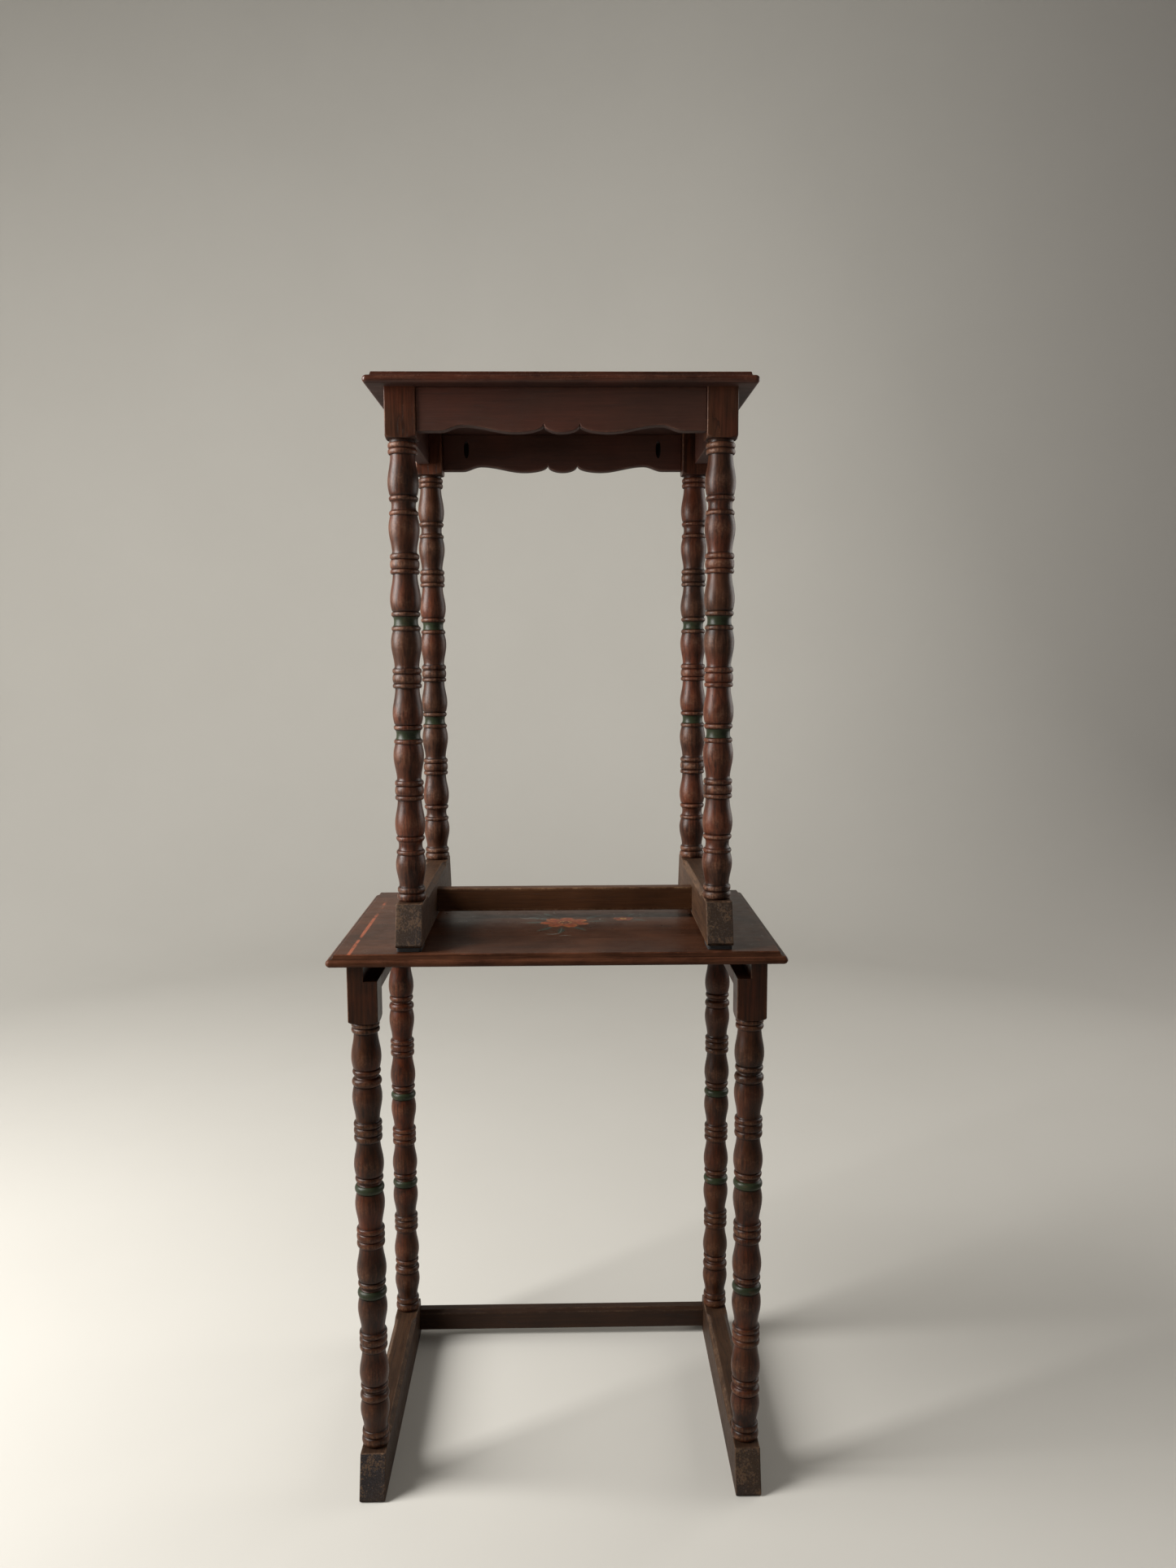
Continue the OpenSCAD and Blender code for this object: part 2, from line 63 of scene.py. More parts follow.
def rounded(poly, inset, support=2.5 * MM, steps=4):
    """Points of a closed counterclockwise outline, inset by a length or a length per corner.
    A corner is (u, v, r): r > 0 is a rounded edge with flat ground kept either side of it.
    Returns arrays of points and of how far along a worn edge each one is."""
    count = len(poly)
    insets = [inset] * count if np.isscalar(inset) else list(inset)
    points, worn = [], []
    for i in range(count):
        here = Vector(poly[i][:2])
        before = Vector(poly[i - 1][:2])
        after = Vector(poly[(i + 1) % count][:2])
        d1, d2 = (here - before), (after - here)
        l1, l2 = d1.length, d2.length
        d1, d2 = d1 / l1, d2 / l2
        n1, n2 = Vector((-d1.y, d1.x)), Vector((-d2.y, d2.x))
        shift = insets[i] / max(0.2, 1 + n1.dot(n2))
        corner = here + (n1 + n2) * shift
        r = poly[i][2]
        if r <= 0:
            points.append(corner)
            worn.append(0.0)
            continue
        turn = math.atan2(d1.x * d2.y - d1.y * d2.x, d1.dot(d2))
        side = 1 if turn > 0 else -1
        radius = max(r - side * insets[i], 1e-6)
        t = radius * math.tan(abs(turn) / 2)
        reach1, reach2 = min(support, 0.3 * l1), min(support, 0.3 * l2)
        start = corner - d1 * t
        centre = start + n1 * (side * radius)
        spoke = n1 * (-side * radius)
        points.append(start - d1 * reach1)
        worn.append(0.0)
        for k in range(steps + 1):
            a = turn * k / steps
            c, s = math.cos(a), math.sin(a)
            points.append(centre + Vector((spoke.x * c - spoke.y * s, spoke.x * s + spoke.y * c)))
            worn.append((1.0 if 0 < k < steps else 0.6) if side > 0 else -0.8)
        points.append(corner + d2 * (t + reach2))
        worn.append(0.0)
    return np.array([tuple(p) for p in points]), np.array(worn)


def dense(poly, step):
    """The same corners with smooth points added along the edges."""
    out = []
    for i, (u, v, r) in enumerate(poly):
        u2, v2 = poly[(i + 1) % len(poly)][:2]
        length = math.hypot(u2 - u, v2 - v)
        parts = max(1, int(round(length / step)))
        out.append((u, v, r))
        for k in range(1, parts):
            out.append((u + (u2 - u) * k / parts, v + (v2 - v) * k / parts, 0))
    return out


def box_outline(u0, v0, u1, v1, r=ARRIS):
    return [(u0, v0, r), (u1, v0, r), (u1, v1, r), (u0, v1, r)]


class Shape:
    """Vertices, faces and per-vertex values of one piece while it is put together."""

    def __init__(self):
        self.verts, self.faces = [], []
        self.values = {"wear": [], "dirt": [], "paint": []}

    def ring(self, points, **values):
        first = len(self.verts)
        self.verts.extend(tuple(float(c) for c in p) for p in points)
        for key, store in self.values.items():
            v = values.get(key, 0.0)
            store.extend([float(v)] * len(points) if np.isscalar(v) else [float(x) for x in v])
        return range(first, first + len(points))

    def bridge(self, a, b):
        n = len(a)
        for i in range(n):
            j = (i + 1) % n
            self.faces.append((a[i], a[j], b[j], b[i]))

    def cap(self, ring, flip=False):
        self.faces.append(tuple(reversed(ring)) if flip else tuple(ring))

    def finish(self, name, body, nodes, material, sharp=38):
        mesh = bpy.data.meshes.new(name)
        mesh.from_pydata(self.verts, [], self.faces)
        for key, store in self.values.items():
            mesh.attributes.new(key, "FLOAT", "POINT").data.foreach_set("value", store)
        mesh.shade_smooth()
        mesh.set_sharp_from_angle(angle=math.radians(sharp))
        mesh.materials.append(material)
        obj = bpy.data.objects.new(name, mesh)
        bpy.context.scene.collection.objects.link(obj)
        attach(obj, body)
        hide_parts(*nodes)
        return obj


def prism(shape, poly, low, high, place, edge=0.8 * MM, flat=0.0, support=2.5 * MM, stations=0):
    """Board or bar: the outline poly in (u, v), run along w from low to high, its rims rounded by edge
    (a length, or one per corner, flat where it is a chamfer). place turns (u, v, w) into x, y, z."""
    corner_steps = 4
    count = len(poly)
    edges = np.full(count, edge, float) if np.isscalar(edge) else np.array(edge, float)
    flats = np.full(count, flat, float) if np.isscalar(flat) else np.array(flat, float)
    spread = []
    for i in range(count):
        spread.extend([i] * (1 if poly[i][2] <= 0 else corner_steps + 3))
    spread = np.array(spread)
    arc = [0, 0.25, 0.5, 0.75, 1]

    def layer(t, end, sign, worn, extra_in=0.0, extra_along=0.0):
        round_in = 1 - math.sin(math.radians(90 * t))
        round_down = 1 - math.cos(math.radians(90 * t))
        into = edges * ((1 - flats) * round_in + flats * (1 - t)) + extra_in
        down = edges * ((1 - flats) * round_down + flats * t) + extra_along
        pts, rim = rounded(poly, into, support, corner_steps)
        w = end - sign * down[spread]
        xyz = [place(p[0], p[1], q) for p, q in zip(pts, w)]
        on_edge = rim if extra_in == 0 else rim * 0
        wear = np.maximum(worn, np.maximum(on_edge, 0))
        # Concave corners carry painted shade with grime
        return shape.ring(xyz, wear=wear, dirt=np.maximum(-on_edge, 0))

    rings = [layer(0, low, -1, 0.0, extra_in=support)]
    rings += [layer(t, low, -1, 1.0 if 0 < t < 1 else 0.6) for t in arc]
    rings.append(layer(1, low, -1, 0.0, extra_along=support))
    for k in range(stations):
        w = low + (high - low) * (k + 1) / (stations + 1)
        pts, rim = rounded(poly, 0.0, support, corner_steps)
        # Concave corners carry painted shade with grime here too
        rings.append(shape.ring([place(p[0], p[1], w) for p in pts],
                                wear=np.maximum(rim, 0), dirt=np.maximum(-rim, 0)))
    rings.append(layer(1, high, 1, 0.0, extra_along=support))
    rings += [layer(t, high, 1, 1.0 if 0 < t < 1 else 0.6) for t in reversed(arc)]
    rings.append(layer(0, high, 1, 0.0, extra_in=support))
    a, b, c = (Vector(place(*q)) for q in ((0, 0, 0), (1, 0, 0), (0, 1, 0)))
    d = Vector(place(0, 0, 1)) - a
    mirrored = (b - a).cross(c - a).dot(d) < 0
    for r1, r2 in zip(rings, rings[1:]):
        shape.bridge(*((r2, r1) if mirrored else (r1, r2)))
    shape.cap(rings[0], flip=not mirrored)
    shape.cap(rings[-1], flip=mirrored)


# ---------------------------------------------------------------- shader helpers


class Graph:
    """Small helper to write a node material as expressions."""

    def __init__(self, name):
        self.mat = bpy.data.materials.new(name)
        self.mat.use_nodes = True
        self.tree = self.mat.node_tree
        self.tree.nodes.clear()
        out = self.tree.nodes.new("ShaderNodeOutputMaterial")
        self.bsdf = self.tree.nodes.new("ShaderNodeBsdfPrincipled")
        self.tree.links.new(self.bsdf.outputs[0], out.inputs[0])
        coord = self.tree.nodes.new("ShaderNodeTexCoord")
        self.place = coord.outputs["Object"]
        self.facing = coord.outputs["Normal"]

    def put(self, socket, value):
        if isinstance(value, bpy.types.NodeSocket):
            self.tree.links.new(value, socket)
        elif isinstance(value, (tuple, list)) and len(value) == 3 and len(socket.default_value) == 4:
            socket.default_value = (*value, 1.0)
        else:
            socket.default_value = value

    def math(self, op, a, b=0.0):
        n = self.tree.nodes.new("ShaderNodeMath")
        n.operation = op
        self.put(n.inputs[0], a)
        self.put(n.inputs[1], b)
        return n.outputs[0]

    def mul(self, a, b):
        return self.math("MULTIPLY", a, b)

    def add(self, a, b):
        return self.math("ADD", a, b)

    def attribute(self, name):
        n = self.tree.nodes.new("ShaderNodeAttribute")
        n.attribute_name = name
        return n.outputs["Fac"]

    def colour(self, name):
        n = self.tree.nodes.new("ShaderNodeAttribute")
        n.attribute_name = name
        return n.outputs["Color"]

    def split(self, vector):
        n = self.tree.nodes.new("ShaderNodeSeparateXYZ")
        self.put(n.inputs[0], vector)
        return n.outputs

    def join(self, x, y, z):
        n = self.tree.nodes.new("ShaderNodeCombineXYZ")
        for i, v in enumerate((x, y, z)):
            self.put(n.inputs[i], v)
        return n.outputs[0]

    def noise(self, vector, scale=1.0, detail=2.0, rough=0.5):
        n = self.tree.nodes.new("ShaderNodeTexNoise")
        self.put(n.inputs["Vector"], vector)
        n.inputs["Scale"].default_value = scale
        n.inputs["Detail"].default_value = detail
        n.inputs["Roughness"].default_value = rough
        return n.outputs["Fac"]

    def voronoi(self, vector, scale):
        n = self.tree.nodes.new("ShaderNodeTexVoronoi")
        self.put(n.inputs["Vector"], vector)
        n.inputs["Scale"].default_value = scale
        return n.outputs["Distance"]

    def step(self, value, low, high, to_low=0.0, to_high=1.0):
        n = self.tree.nodes.new("ShaderNodeMapRange")
        n.interpolation_type = "SMOOTHSTEP"
        self.put(n.inputs["Value"], value)
        for key, v in zip(("From Min", "From Max", "To Min", "To Max"), (low, high, to_low, to_high)):
            n.inputs[key].default_value = v
        return n.outputs["Result"]

    def mix(self, fac, a, b):
        n = self.tree.nodes.new("ShaderNodeMix")
        n.data_type = "RGBA"
        self.put(n.inputs["Factor"], fac)
        sockets = [s for s in n.inputs if s.type == "RGBA"]
        self.put(sockets[0], a)
        self.put(sockets[1], b)
        return [s for s in n.outputs if s.type == "RGBA"][0]

    def bump(self, height, distance):
        n = self.tree.nodes.new("ShaderNodeBump")
        n.inputs["Strength"].default_value = 1.0
        n.inputs["Distance"].default_value = distance
        self.put(n.inputs["Height"], height)
        self.tree.links.new(n.outputs["Normal"], self.bsdf.inputs["Normal"])


def wood(name, grain, dark, mid, pale, spacing=3.2 * MM, normal=(0.5, 0.8), gloss=0.3, contrast=1.0,
         wear_amount=0.8, relief=0.35 * MM, shine=0.36, even=0.0, ruddy=0.0, paint=None, ends=False, top=None):
    """Stained open-grained wood whose grain runs along the axis named by grain. spacing and normal set
    its growth rings, even and ruddy its stain, paint its painted rings, ends the toes of a foot, and top
    adds what is painted on a table top."""
    g = Graph(name)
    x, y, z = g.split(g.place)
    along, across, through = {"x": (x, y, z), "y": (y, x, z), "z": (z, x, y)}[grain]

    # Growth rings: nearly flat sheets, bent by slow noise, that a turned shape cuts into ovals and arrows
    slow = g.noise(g.join(g.mul(across, 30), g.mul(through, 30), g.mul(along, 6)), detail=3, rough=0.6)
    sheets = g.add(g.mul(across, normal[0] / spacing), g.mul(through, normal[1] / spacing))
    sheets = g.add(sheets, g.mul(slow, 9.0))
    phase = g.math("FRACT", sheets)
    strong = g.noise(g.join(g.math("FLOOR", sheets), 0.37, g.mul(along, 9)), scale=1.7, detail=1)
    ring = g.mul(g.math("POWER", phase, 2.5), g.step(strong, 0.35, 0.68, 0.15, 1.0))

    # Pores: thin dark dashes along the grain, gathered at the rings
    fine = g.noise(g.join(g.mul(across, 1500), g.mul(through, 1500), g.mul(along, 55)), detail=2, rough=0.6)
    streak = g.noise(g.join(g.mul(across, 420), g.mul(through, 420), g.mul(along, 14)), detail=4, rough=0.65)
    pores = g.step(fine, 0.56, 0.70)
    pores = g.mul(pores, g.add(g.mul(ring, 0.8), 0.25))

    # Stain: patches that took more or less of it, and hand wear
    patch = g.noise(g.place, scale=16, detail=3, rough=0.55)
    blotch = g.noise(g.place, scale=70, detail=4, rough=0.6)
    tone = g.add(g.mul(streak, 0.75), g.mul(patch, 0.6))
    red = g.mul(g.step(g.noise(g.place, scale=11, detail=2), 0.40, 0.62), ruddy)
    body = g.mix(red, mid, (mid[0] * 1.5, mid[1] * 1.05, mid[2] * 0.95))
    colour = g.mix(g.step(tone, 0.42, 0.92, 0.5 * even, 1 - 0.2 * even), dark, body)
    colour = g.mix(g.mul(g.step(ring, 0.2, 1.0), 0.62 * contrast), colour, dark)
    colour = g.mix(g.mul(pores, min(1.0, 0.85 * contrast)), colour, tuple(c * 0.28 for c in dark))

    wear = g.attribute("wear")
    rubbed = g.mul(wear, g.step(g.add(g.mul(blotch, 0.7), g.mul(streak, 0.45)), 0.42, 0.72))
    scuffs = g.mul(g.step(g.noise(g.place, scale=130, detail=5, rough=0.7), 0.66, 0.74), 0.35)
    rubbed = g.mul(rubbed, g.step(fine, 0.36, 0.6, 0.45, 1.0))
    rubbed = g.mul(rubbed, g.step(g.noise(g.place, scale=380, detail=2), 0.42, 0.58, 0.4, 1.1))
    rubbed = g.math("MAXIMUM", g.mul(rubbed, wear_amount), g.mul(scuffs, wear_amount))
    colour = g.mix(rubbed, colour, pale)

    # Painted shade with grime: patchy near-black wherever the per-vertex values mark hollows, creases, joints
    # and block undersides
    dirt = g.attribute("dirt")
    grime_and_shade = g.mul(dirt, g.step(blotch, 0.25, 0.6, 0.6, 1.0))
    colour = g.mix(g.mul(grime_and_shade, 0.85), colour, (0.006, 0.0035, 0.0025))

    rough = g.add(g.mul(blotch, 0.22), gloss)
    rough = g.add(rough, g.mul(pores, 0.2))
    rough = g.add(rough, g.mul(rubbed, 0.12))
    height = g.add(g.mul(streak, 0.35), g.mul(fine, 0.25))
    height = g.math("SUBTRACT", height, g.mul(pores, 0.55))
    height = g.math("SUBTRACT", height, g.mul(ring, 0.18))
    height = g.add(height, g.mul(blotch, 0.25))

    if paint:
        band = g.attribute("paint")
        worn_band = g.mul(band, g.step(g.add(blotch, g.mul(streak, 0.5)), 0.5, 0.62, 1.0, 0.82))
        shade = g.mix(g.step(patch, 0.35, 0.65), paint, tuple(c * 1.5 for c in paint))
        shade = g.mix(g.mul(wear, g.step(blotch, 0.55, 0.7, 0.0, 0.45)), shade, pale)
        colour = g.mix(g.step(worn_band, 0.35, 0.6), colour, shade)

    if ends:
        # End grain of a foot's toes: scuffed black and tan speckle
        toe = g.step(g.math("ABSOLUTE", g.split(g.facing)[1]), 0.7, 0.9)
        speck = g.noise(g.place, scale=420, detail=5, rough=0.72)
        flake = g.noise(g.place, scale=60, detail=4, rough=0.7)
        tan = g.step(g.add(g.mul(speck, 0.62), g.mul(flake, 0.5)), 0.545, 0.63)
        grey = g.step(g.noise(g.place, scale=900, detail=2), 0.56, 0.68)
        warm = g.step(g.noise(g.place, scale=4.5, detail=0), 0.42, 0.58)
        end = g.mix(tan, g.mix(warm, (0.014, 0.012, 0.013), (0.030, 0.018, 0.011)), (0.085, 0.050, 0.029))
        end = g.mix(g.mul(grey, 0.35), end, (0.10, 0.09, 0.085))
        colour = g.mix(g.mul(toe, 0.9), colour, end)
        height = g.add(height, g.mul(g.mul(toe, tan), 0.9))
        rough = g.add(rough, g.mul(toe, 0.2))

    # Undersides were never polished, so they are rougher; they are also painted darker towards the pore colour
    # as shade
    under = g.step(g.split(g.facing)[2], -0.9, -0.6, 1.0, 0.0)
    rough = g.add(rough, g.mul(under, 0.4))
    colour = g.mix(g.mul(under, 0.5), colour, dark)

    if top:
        colour, rough, height = top(g, colour, rough, height, (x, y, z))

    g.put(g.bsdf.inputs["Base Color"], colour)
    g.put(g.bsdf.inputs["Roughness"], rough)
    g.bsdf.inputs["Specular IOR Level"].default_value = shine
    g.bump(height, relief)
    return g.mat


def painted_top(g, colour, rough, height, xyz):
    """Worn border line near the sides of the large top, painted flowers held in vertex values, chips."""
    x, y, z = xyz
    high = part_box("large_top")[1]
    line_x = high.x - 24.5 * MM
    off = g.math("ABSOLUTE", g.math("SUBTRACT", g.math("ABSOLUTE", x), line_x))
    wobble = g.mul(g.noise(g.place, scale=18, detail=2), 1.6 * MM)
    line = g.step(g.add(off, wobble), 2.2 * MM, 3.1 * MM, 1.0, 0.0)
    kept = g.noise(g.place, scale=55, detail=5, rough=0.7)
    fade_far = g.step(y, -0.02, 0.12, 0.0, 1.0)
    left = g.step(x, -0.05, 0.05, 0.0, 1.0)
    loss = g.add(g.add(g.mul(kept, 1.0), g.mul(fade_far, 0.16)), g.mul(left, 0.22))
    line = g.mul(line, g.step(loss, 0.48, 0.64, 0.8, 0.0))
    line = g.mul(line, g.step(z, high.z - 0.6 * MM, high.z - 0.2 * MM))
    colour = g.mix(line, colour, (0.30, 0.082, 0.038))

    strokes = g.attribute("flower")
    brushed = g.noise(g.place, scale=240, detail=3, rough=0.6)
    cover = g.mul(strokes, g.step(g.add(g.mul(brushed, 0.5), g.mul(kept, 0.5)), 0.52, 0.62, 1.0, 0.35))
    tint = g.mix(g.step(brushed, 0.35, 0.7, 0.0, 0.35), g.colour("flower_colour"), (0.05, 0.02, 0.012))
    colour = g.mix(cover, colour, tint)
    chips = g.voronoi(g.place, 24)
    chip = g.mul(g.step(chips, 0.022, 0.03, 1.0, 0.0), g.step(z, high.z - 0.6 * MM, high.z - 0.2 * MM))
    colour = g.mix(g.mul(chip, 0.9), colour, (0.5, 0.46, 0.4))
    height = g.add(height, g.mul(cover, 0.25))
    return colour, rough, height


def plain_stain(name, base, second, scale, rough, metallic=0.0, bump=0.15 * MM):
    """Simple two-tone material for the small fixings and pads."""
    g = Graph(name)
    n = g.noise(g.place, scale=scale, detail=4, rough=0.65)
    g.put(g.bsdf.inputs["Base Color"], g.mix(g.step(n, 0.35, 0.65), base, second))
    g.put(g.bsdf.inputs["Roughness"], g.add(g.mul(n, 0.2), rough))
    g.bsdf.inputs["Metallic"].default_value = metallic
    g.bump(n, bump)
    return g.mat


# Painted shade: a wood's colours scaled down, for a part that gets less light
def shaded(shade_level, *colours):
    return [tuple(c * shade_level for c in colour) for colour in colours]


# Each wood has three colours: in its pores and hollows, its body, and where it is rubbed pale; the first is
# also painted on undersides as shade
DARK, MID, EDGE = (0.020, 0.0064, 0.0038), (0.064, 0.0215, 0.0125), (0.15, 0.062, 0.036)
GREEN = (0.0125, 0.0160, 0.0070)
TOP_SMALL = wood("small_top_wood", "x", DARK, MID, EDGE, gloss=0.14, contrast=0.5, normal=(0.35, 0.9),
                 spacing=6 * MM, relief=0.12 * MM, shine=0.25, ruddy=0.4)
TOP_LARGE = wood("large_top_wood", "x", (0.022, 0.0080, 0.0042), (0.080, 0.030, 0.0145),
                 (0.115, 0.041, 0.024), gloss=0.2, contrast=0.45, normal=(0.35, 0.9), spacing=6 * MM,
                 relief=0.12 * MM, shine=0.06, top=painted_top)

# The large table's frame is painted darker than the small one's: its leg colours are scaled by 0.6 as painted
# shade, for the less light on the lower table
LEG_COLOURS = {
    "small": ((0.014, 0.0052, 0.0029), (0.064, 0.0240, 0.0120), (0.19, 0.096, 0.058)),
    "large": shaded(0.6, (0.0145, 0.0046, 0.0018), (0.071, 0.0215, 0.0070), (0.21, 0.096, 0.048)),
}
LEGS = {
    size: wood(size + "_leg_wood", "z", *LEG_COLOURS[size], gloss=0.26, shine=0.18, paint=GREEN,
               normal=(0.55, 0.8), spacing=4.4 * MM, relief=0.16 * MM, ruddy=1.0)
    for size in ("small", "large")
}
STRETCHER_COLOURS = (0.022, 0.0082, 0.0030), (0.080, 0.030, 0.0105), (0.22, 0.13, 0.07)
# The large table's stretcher colours are scaled by 0.32 as painted shade
STRETCHER = {
    size: wood(size + "_stretcher_wood", "x", *shaded(shade_level, *STRETCHER_COLOURS), contrast=0.45,
               normal=(0.6, 0.7), gloss=0.36, shine=0.2, even=0.6)
    for size, shade_level in (("small", 1.0), ("large", 0.32))
}
FOOT_COLOURS = (0.016, 0.0076, 0.0042), (0.064, 0.031, 0.0155), (0.18, 0.105, 0.062)
# The large table's foot colours are scaled by 0.66 as painted shade
FOOT = {
    size: wood(size + "_foot_wood", "y", *shaded(shade_level, *FOOT_COLOURS), contrast=0.7,
               normal=(0.7, 0.6), gloss=0.42, shine=0.15, even=0.3, ends=True)
    for size, shade_level in (("small", 1.0), ("large", 0.66))
}
RAIL_X, RAIL_Y = (
    wood("rail_wood_" + grain, grain, DARK, MID, EDGE, contrast=0.4, normal=(0.8, 0.5), gloss=0.36,
         wear_amount=0.5, relief=0.2 * MM, even=0.8, ruddy=0.5)
    for grain in ("x", "y")
)
# Painted shade: near-black wood for the insides of the pocket holes
POCKET_SHADE = wood("pocket_shade_wood", "z", (0.006, 0.003, 0.002), (0.012, 0.006, 0.004), (0.02, 0.011, 0.008),
              gloss=0.6, shine=0.1)
PAD = plain_stain("pad_felt", (0.008, 0.0075, 0.0075), (0.022, 0.02, 0.02), 900, 0.85, bump=0.3 * MM)
DOWEL = plain_stain("dowel_wood", (0.42, 0.27, 0.14), (0.55, 0.38, 0.22), 300, 0.6)
STEEL = plain_stain("screw_steel", (0.33, 0.31, 0.29), (0.5, 0.48, 0.45), 700, 0.35, metallic=1.0)

# ---------------------------------------------------------------- turned legs

VASE_R, RING_R, NECK_R = 16.6, 15.7, 13.2      # largest radius of each shape, mm


def bead(h, r0, r1, steps=9, paint=0.0):
    """Half-round bead or cove as (drop, radius, wear, dirt, paint), its last point left to the next shape; dirt
    is painted shade with grime, in the hollows and at the foot of each bead.
    """
    out = []
    for i in range(steps):
        a = math.pi * i / steps
        s = math.sin(a)
        hollow = r1 < r0
        wear = 0.15 if hollow else s ** 4
        dirt = 0.35 * s if hollow else max(0.0, 1 - 1.7 * s) ** 0.8
        radius = r0 + (r1 - r0) * s ** (0.8 if hollow else 1.1)
        out.append((h * (1 - math.cos(a)) / 2, radius, wear, dirt, paint))
    return out


def vase(h, upright, steps=24):
    out = []
    for i in range(steps):
        t = i / steps
        u = t if upright else 1 - t
        if u < 0.68:
            r = NECK_R + (VASE_R - NECK_R) * (1 - math.cos(math.pi * u / 0.68)) / 2
        else:
            r = 14.6 + (VASE_R - 14.6) * math.cos(math.pi / 2 * (u - 0.68) / 0.32)
        wear = max(0.0, (r - 14.9) / 1.7) ** 1.5 * 0.5
        # Its two ends, where it meets the rings, carry painted shade with grime
        edge = min(t, 1 - t)
        out.append((h * t, r, wear, max(0.0, 0.8 - edge * 16), 0.0))
    return out


def leg_outline(length, large):
    """(height below the block, radius, wear, dirt, paint) down a shaft, dirt being painted shade with grime;
    the CAD's order of shapes.
    """
    ring = lambda h=6.3: (h, bead(h, NECK_R + 0.6, RING_R))
    group = [(h, bead(h, NECK_R + 0.8, 15.8)) for h in ((6.4, 9, 7.6) if large else (6, 10.4, 5.2))]
    if large:
        start = [ring(), ring()]
        end = [(8, bead(8, NECK_R + 0.4, 15.3)), (11, bead(11, NECK_R + 0.4, 15.9))]
        first, last = 1.0, -5.0
    else:
        start = [(3.2, [(0, NECK_R + 0.6, 0, 0.6, 0)]), ring(), ring()]
        end = [(6.8, bead(6.8, NECK_R + 0.4, 15.3)), (9, bead(9, NECK_R + 0.4, 15.9))]
        first, last = 3.0, -4.0

    def band(repeat):
        green = 1.0 if repeat in (1, 2) else 0.0
        if large:
            return [ring(6), (3.8, bead(3.8, RING_R - 1, 12.9)), (9.6, bead(9.6, NECK_R, 16.5, 13, green))]
        return [ring(5.2), (10.2, bead(10.2, RING_R - 1, 12.9, 11, green)), ring(5.2)]

    fixed = sum(s[0] for s in start + end) + 4 * sum(s[0] for s in band(0)) + 3 * sum(s[0] for s in group)
    v = (length - fixed - first - last) / 8
    shapes = list(start)
    for repeat in range(4):
        h1 = v + (first if repeat == 0 else 0)
        h2 = v + (last if repeat == 3 else 0)
        shapes += [(h1, vase(h1, True)), *band(repeat), (h2, vase(h2, False))]
        shapes += group if repeat < 3 else end
    out, z = [], 0.0
    for h, pts in shapes:
        out += [(z + p[0], *p[1:]) for p in pts]
        z += h
    # The shaft's lower end, where it enters the foot, carries full painted shade with grime
    out.append((length, NECK_R, 0, 1, 0))
    return out


def shaft(shape, cx, cy, top, length, large, seed):
    """Lathed shaft with slight unevenness of hand work and nicks along its rings."""
    count = 64
    angles = [2 * math.pi * k / count for k in range(count)]
    hidden_r, run_in = 13 * MM, 2 * MM      # where the shaft starts inside its block
    start = [(cx + hidden_r * math.cos(a), cy + hidden_r * math.sin(a), top + run_in) for a in angles]
    # The hidden start inside the block carries full painted shade with grime
    previous = shape.ring(start, dirt=1.0)
    for drop, r, wear, dirt, paint in leg_outline(length / MM, large):
        z = top - drop * MM
        pts = []
        for a in angles:
            c, s = math.cos(a), math.sin(a)
            n = noise.noise((c * 1.3 + seed, s * 1.3, z * 22))
            nick = max(0.0, noise.noise((c * 5 + seed, s * 5, z * 260)) - 0.42) * wear
            rr = (r + 0.10 * n - 1.1 * nick) * MM
            pts.append((cx + rr * c, cy + rr * s, z))
        current = shape.ring(pts, wear=wear, dirt=dirt, paint=paint)
        shape.bridge(current, previous)
        previous = current
    shape.cap(previous, flip=True)


def block(shape, cx, cy, low, high, half, notch=None):
    """Square block with the lower end rounded over by the lathe, and a notch in its upper inner corner."""
    sq = [(-half, -half, 1.1 * MM), (half, -half, 1.1 * MM), (half, half, 1.1 * MM), (-half, half, 1.1 * MM)]
    base, rim = rounded(dense(sq, 3 * MM), 0.0, 1.5 * MM)
    reach, ring_r = LEG_SQ * 0.72, half
    radius = np.hypot(base[:, 0], base[:, 1])
    rings = []
    for k in range(9):
        a = math.radians(90 * k / 8)
        limit = ring_r + (reach - ring_r) * math.sin(a)
        scale = np.minimum(1.0, limit / radius)
        z = low + 6 * MM * (1 - math.cos(a))
        wear = np.where(scale < 0.999, 0.45, np.maximum(rim, 0) * 0.8)
        # The lowest rings of the rounded end carry a little painted shade with grime, where the shaft leaves
        # the block
        rings.append(shape.ring([(cx + p[0] * s, cy + p[1] * s, z) for p, s in zip(base, scale)],
                                wear=wear, dirt=0.25 if k < 2 else 0.0))
    top = high if notch is None else high - GROOVE_H
    for z in np.linspace(low + 10 * MM, top, 5):
        rings.append(shape.ring([(cx + p[0], cy + p[1], z) for p in base], wear=np.maximum(rim, 0)))
    for r1, r2 in zip(rings, rings[1:]):
        shape.bridge(r1, r2)
    # The block's underside round the shaft is painted near-black as shade with grime
    inner = shape.ring([(cx + p[0] * 0.8, cy + p[1] * 0.8, low) for p in base * (ring_r / radius)[:, None]],
                       dirt=1.0)
    shape.bridge(inner, rings[0])
    shape.cap(inner, flip=True)
    shape.cap(rings[-1])
    if notch is not None:
        outline = [(u, v, ARRIS) for u, v in notch]
        pts, rim = rounded(outline, 0.0, 1.5 * MM)
        upper = [shape.ring([(cx + p[0], cy + p[1], z) for p in pts], wear=np.maximum(rim, 0),
                            dirt=np.maximum(-rim, 0)) for z in np.linspace(top, high, 3)]
        for r1, r2 in zip(upper, upper[1:]):
            shape.bridge(r1, r2)
        shape.cap(upper[-1])


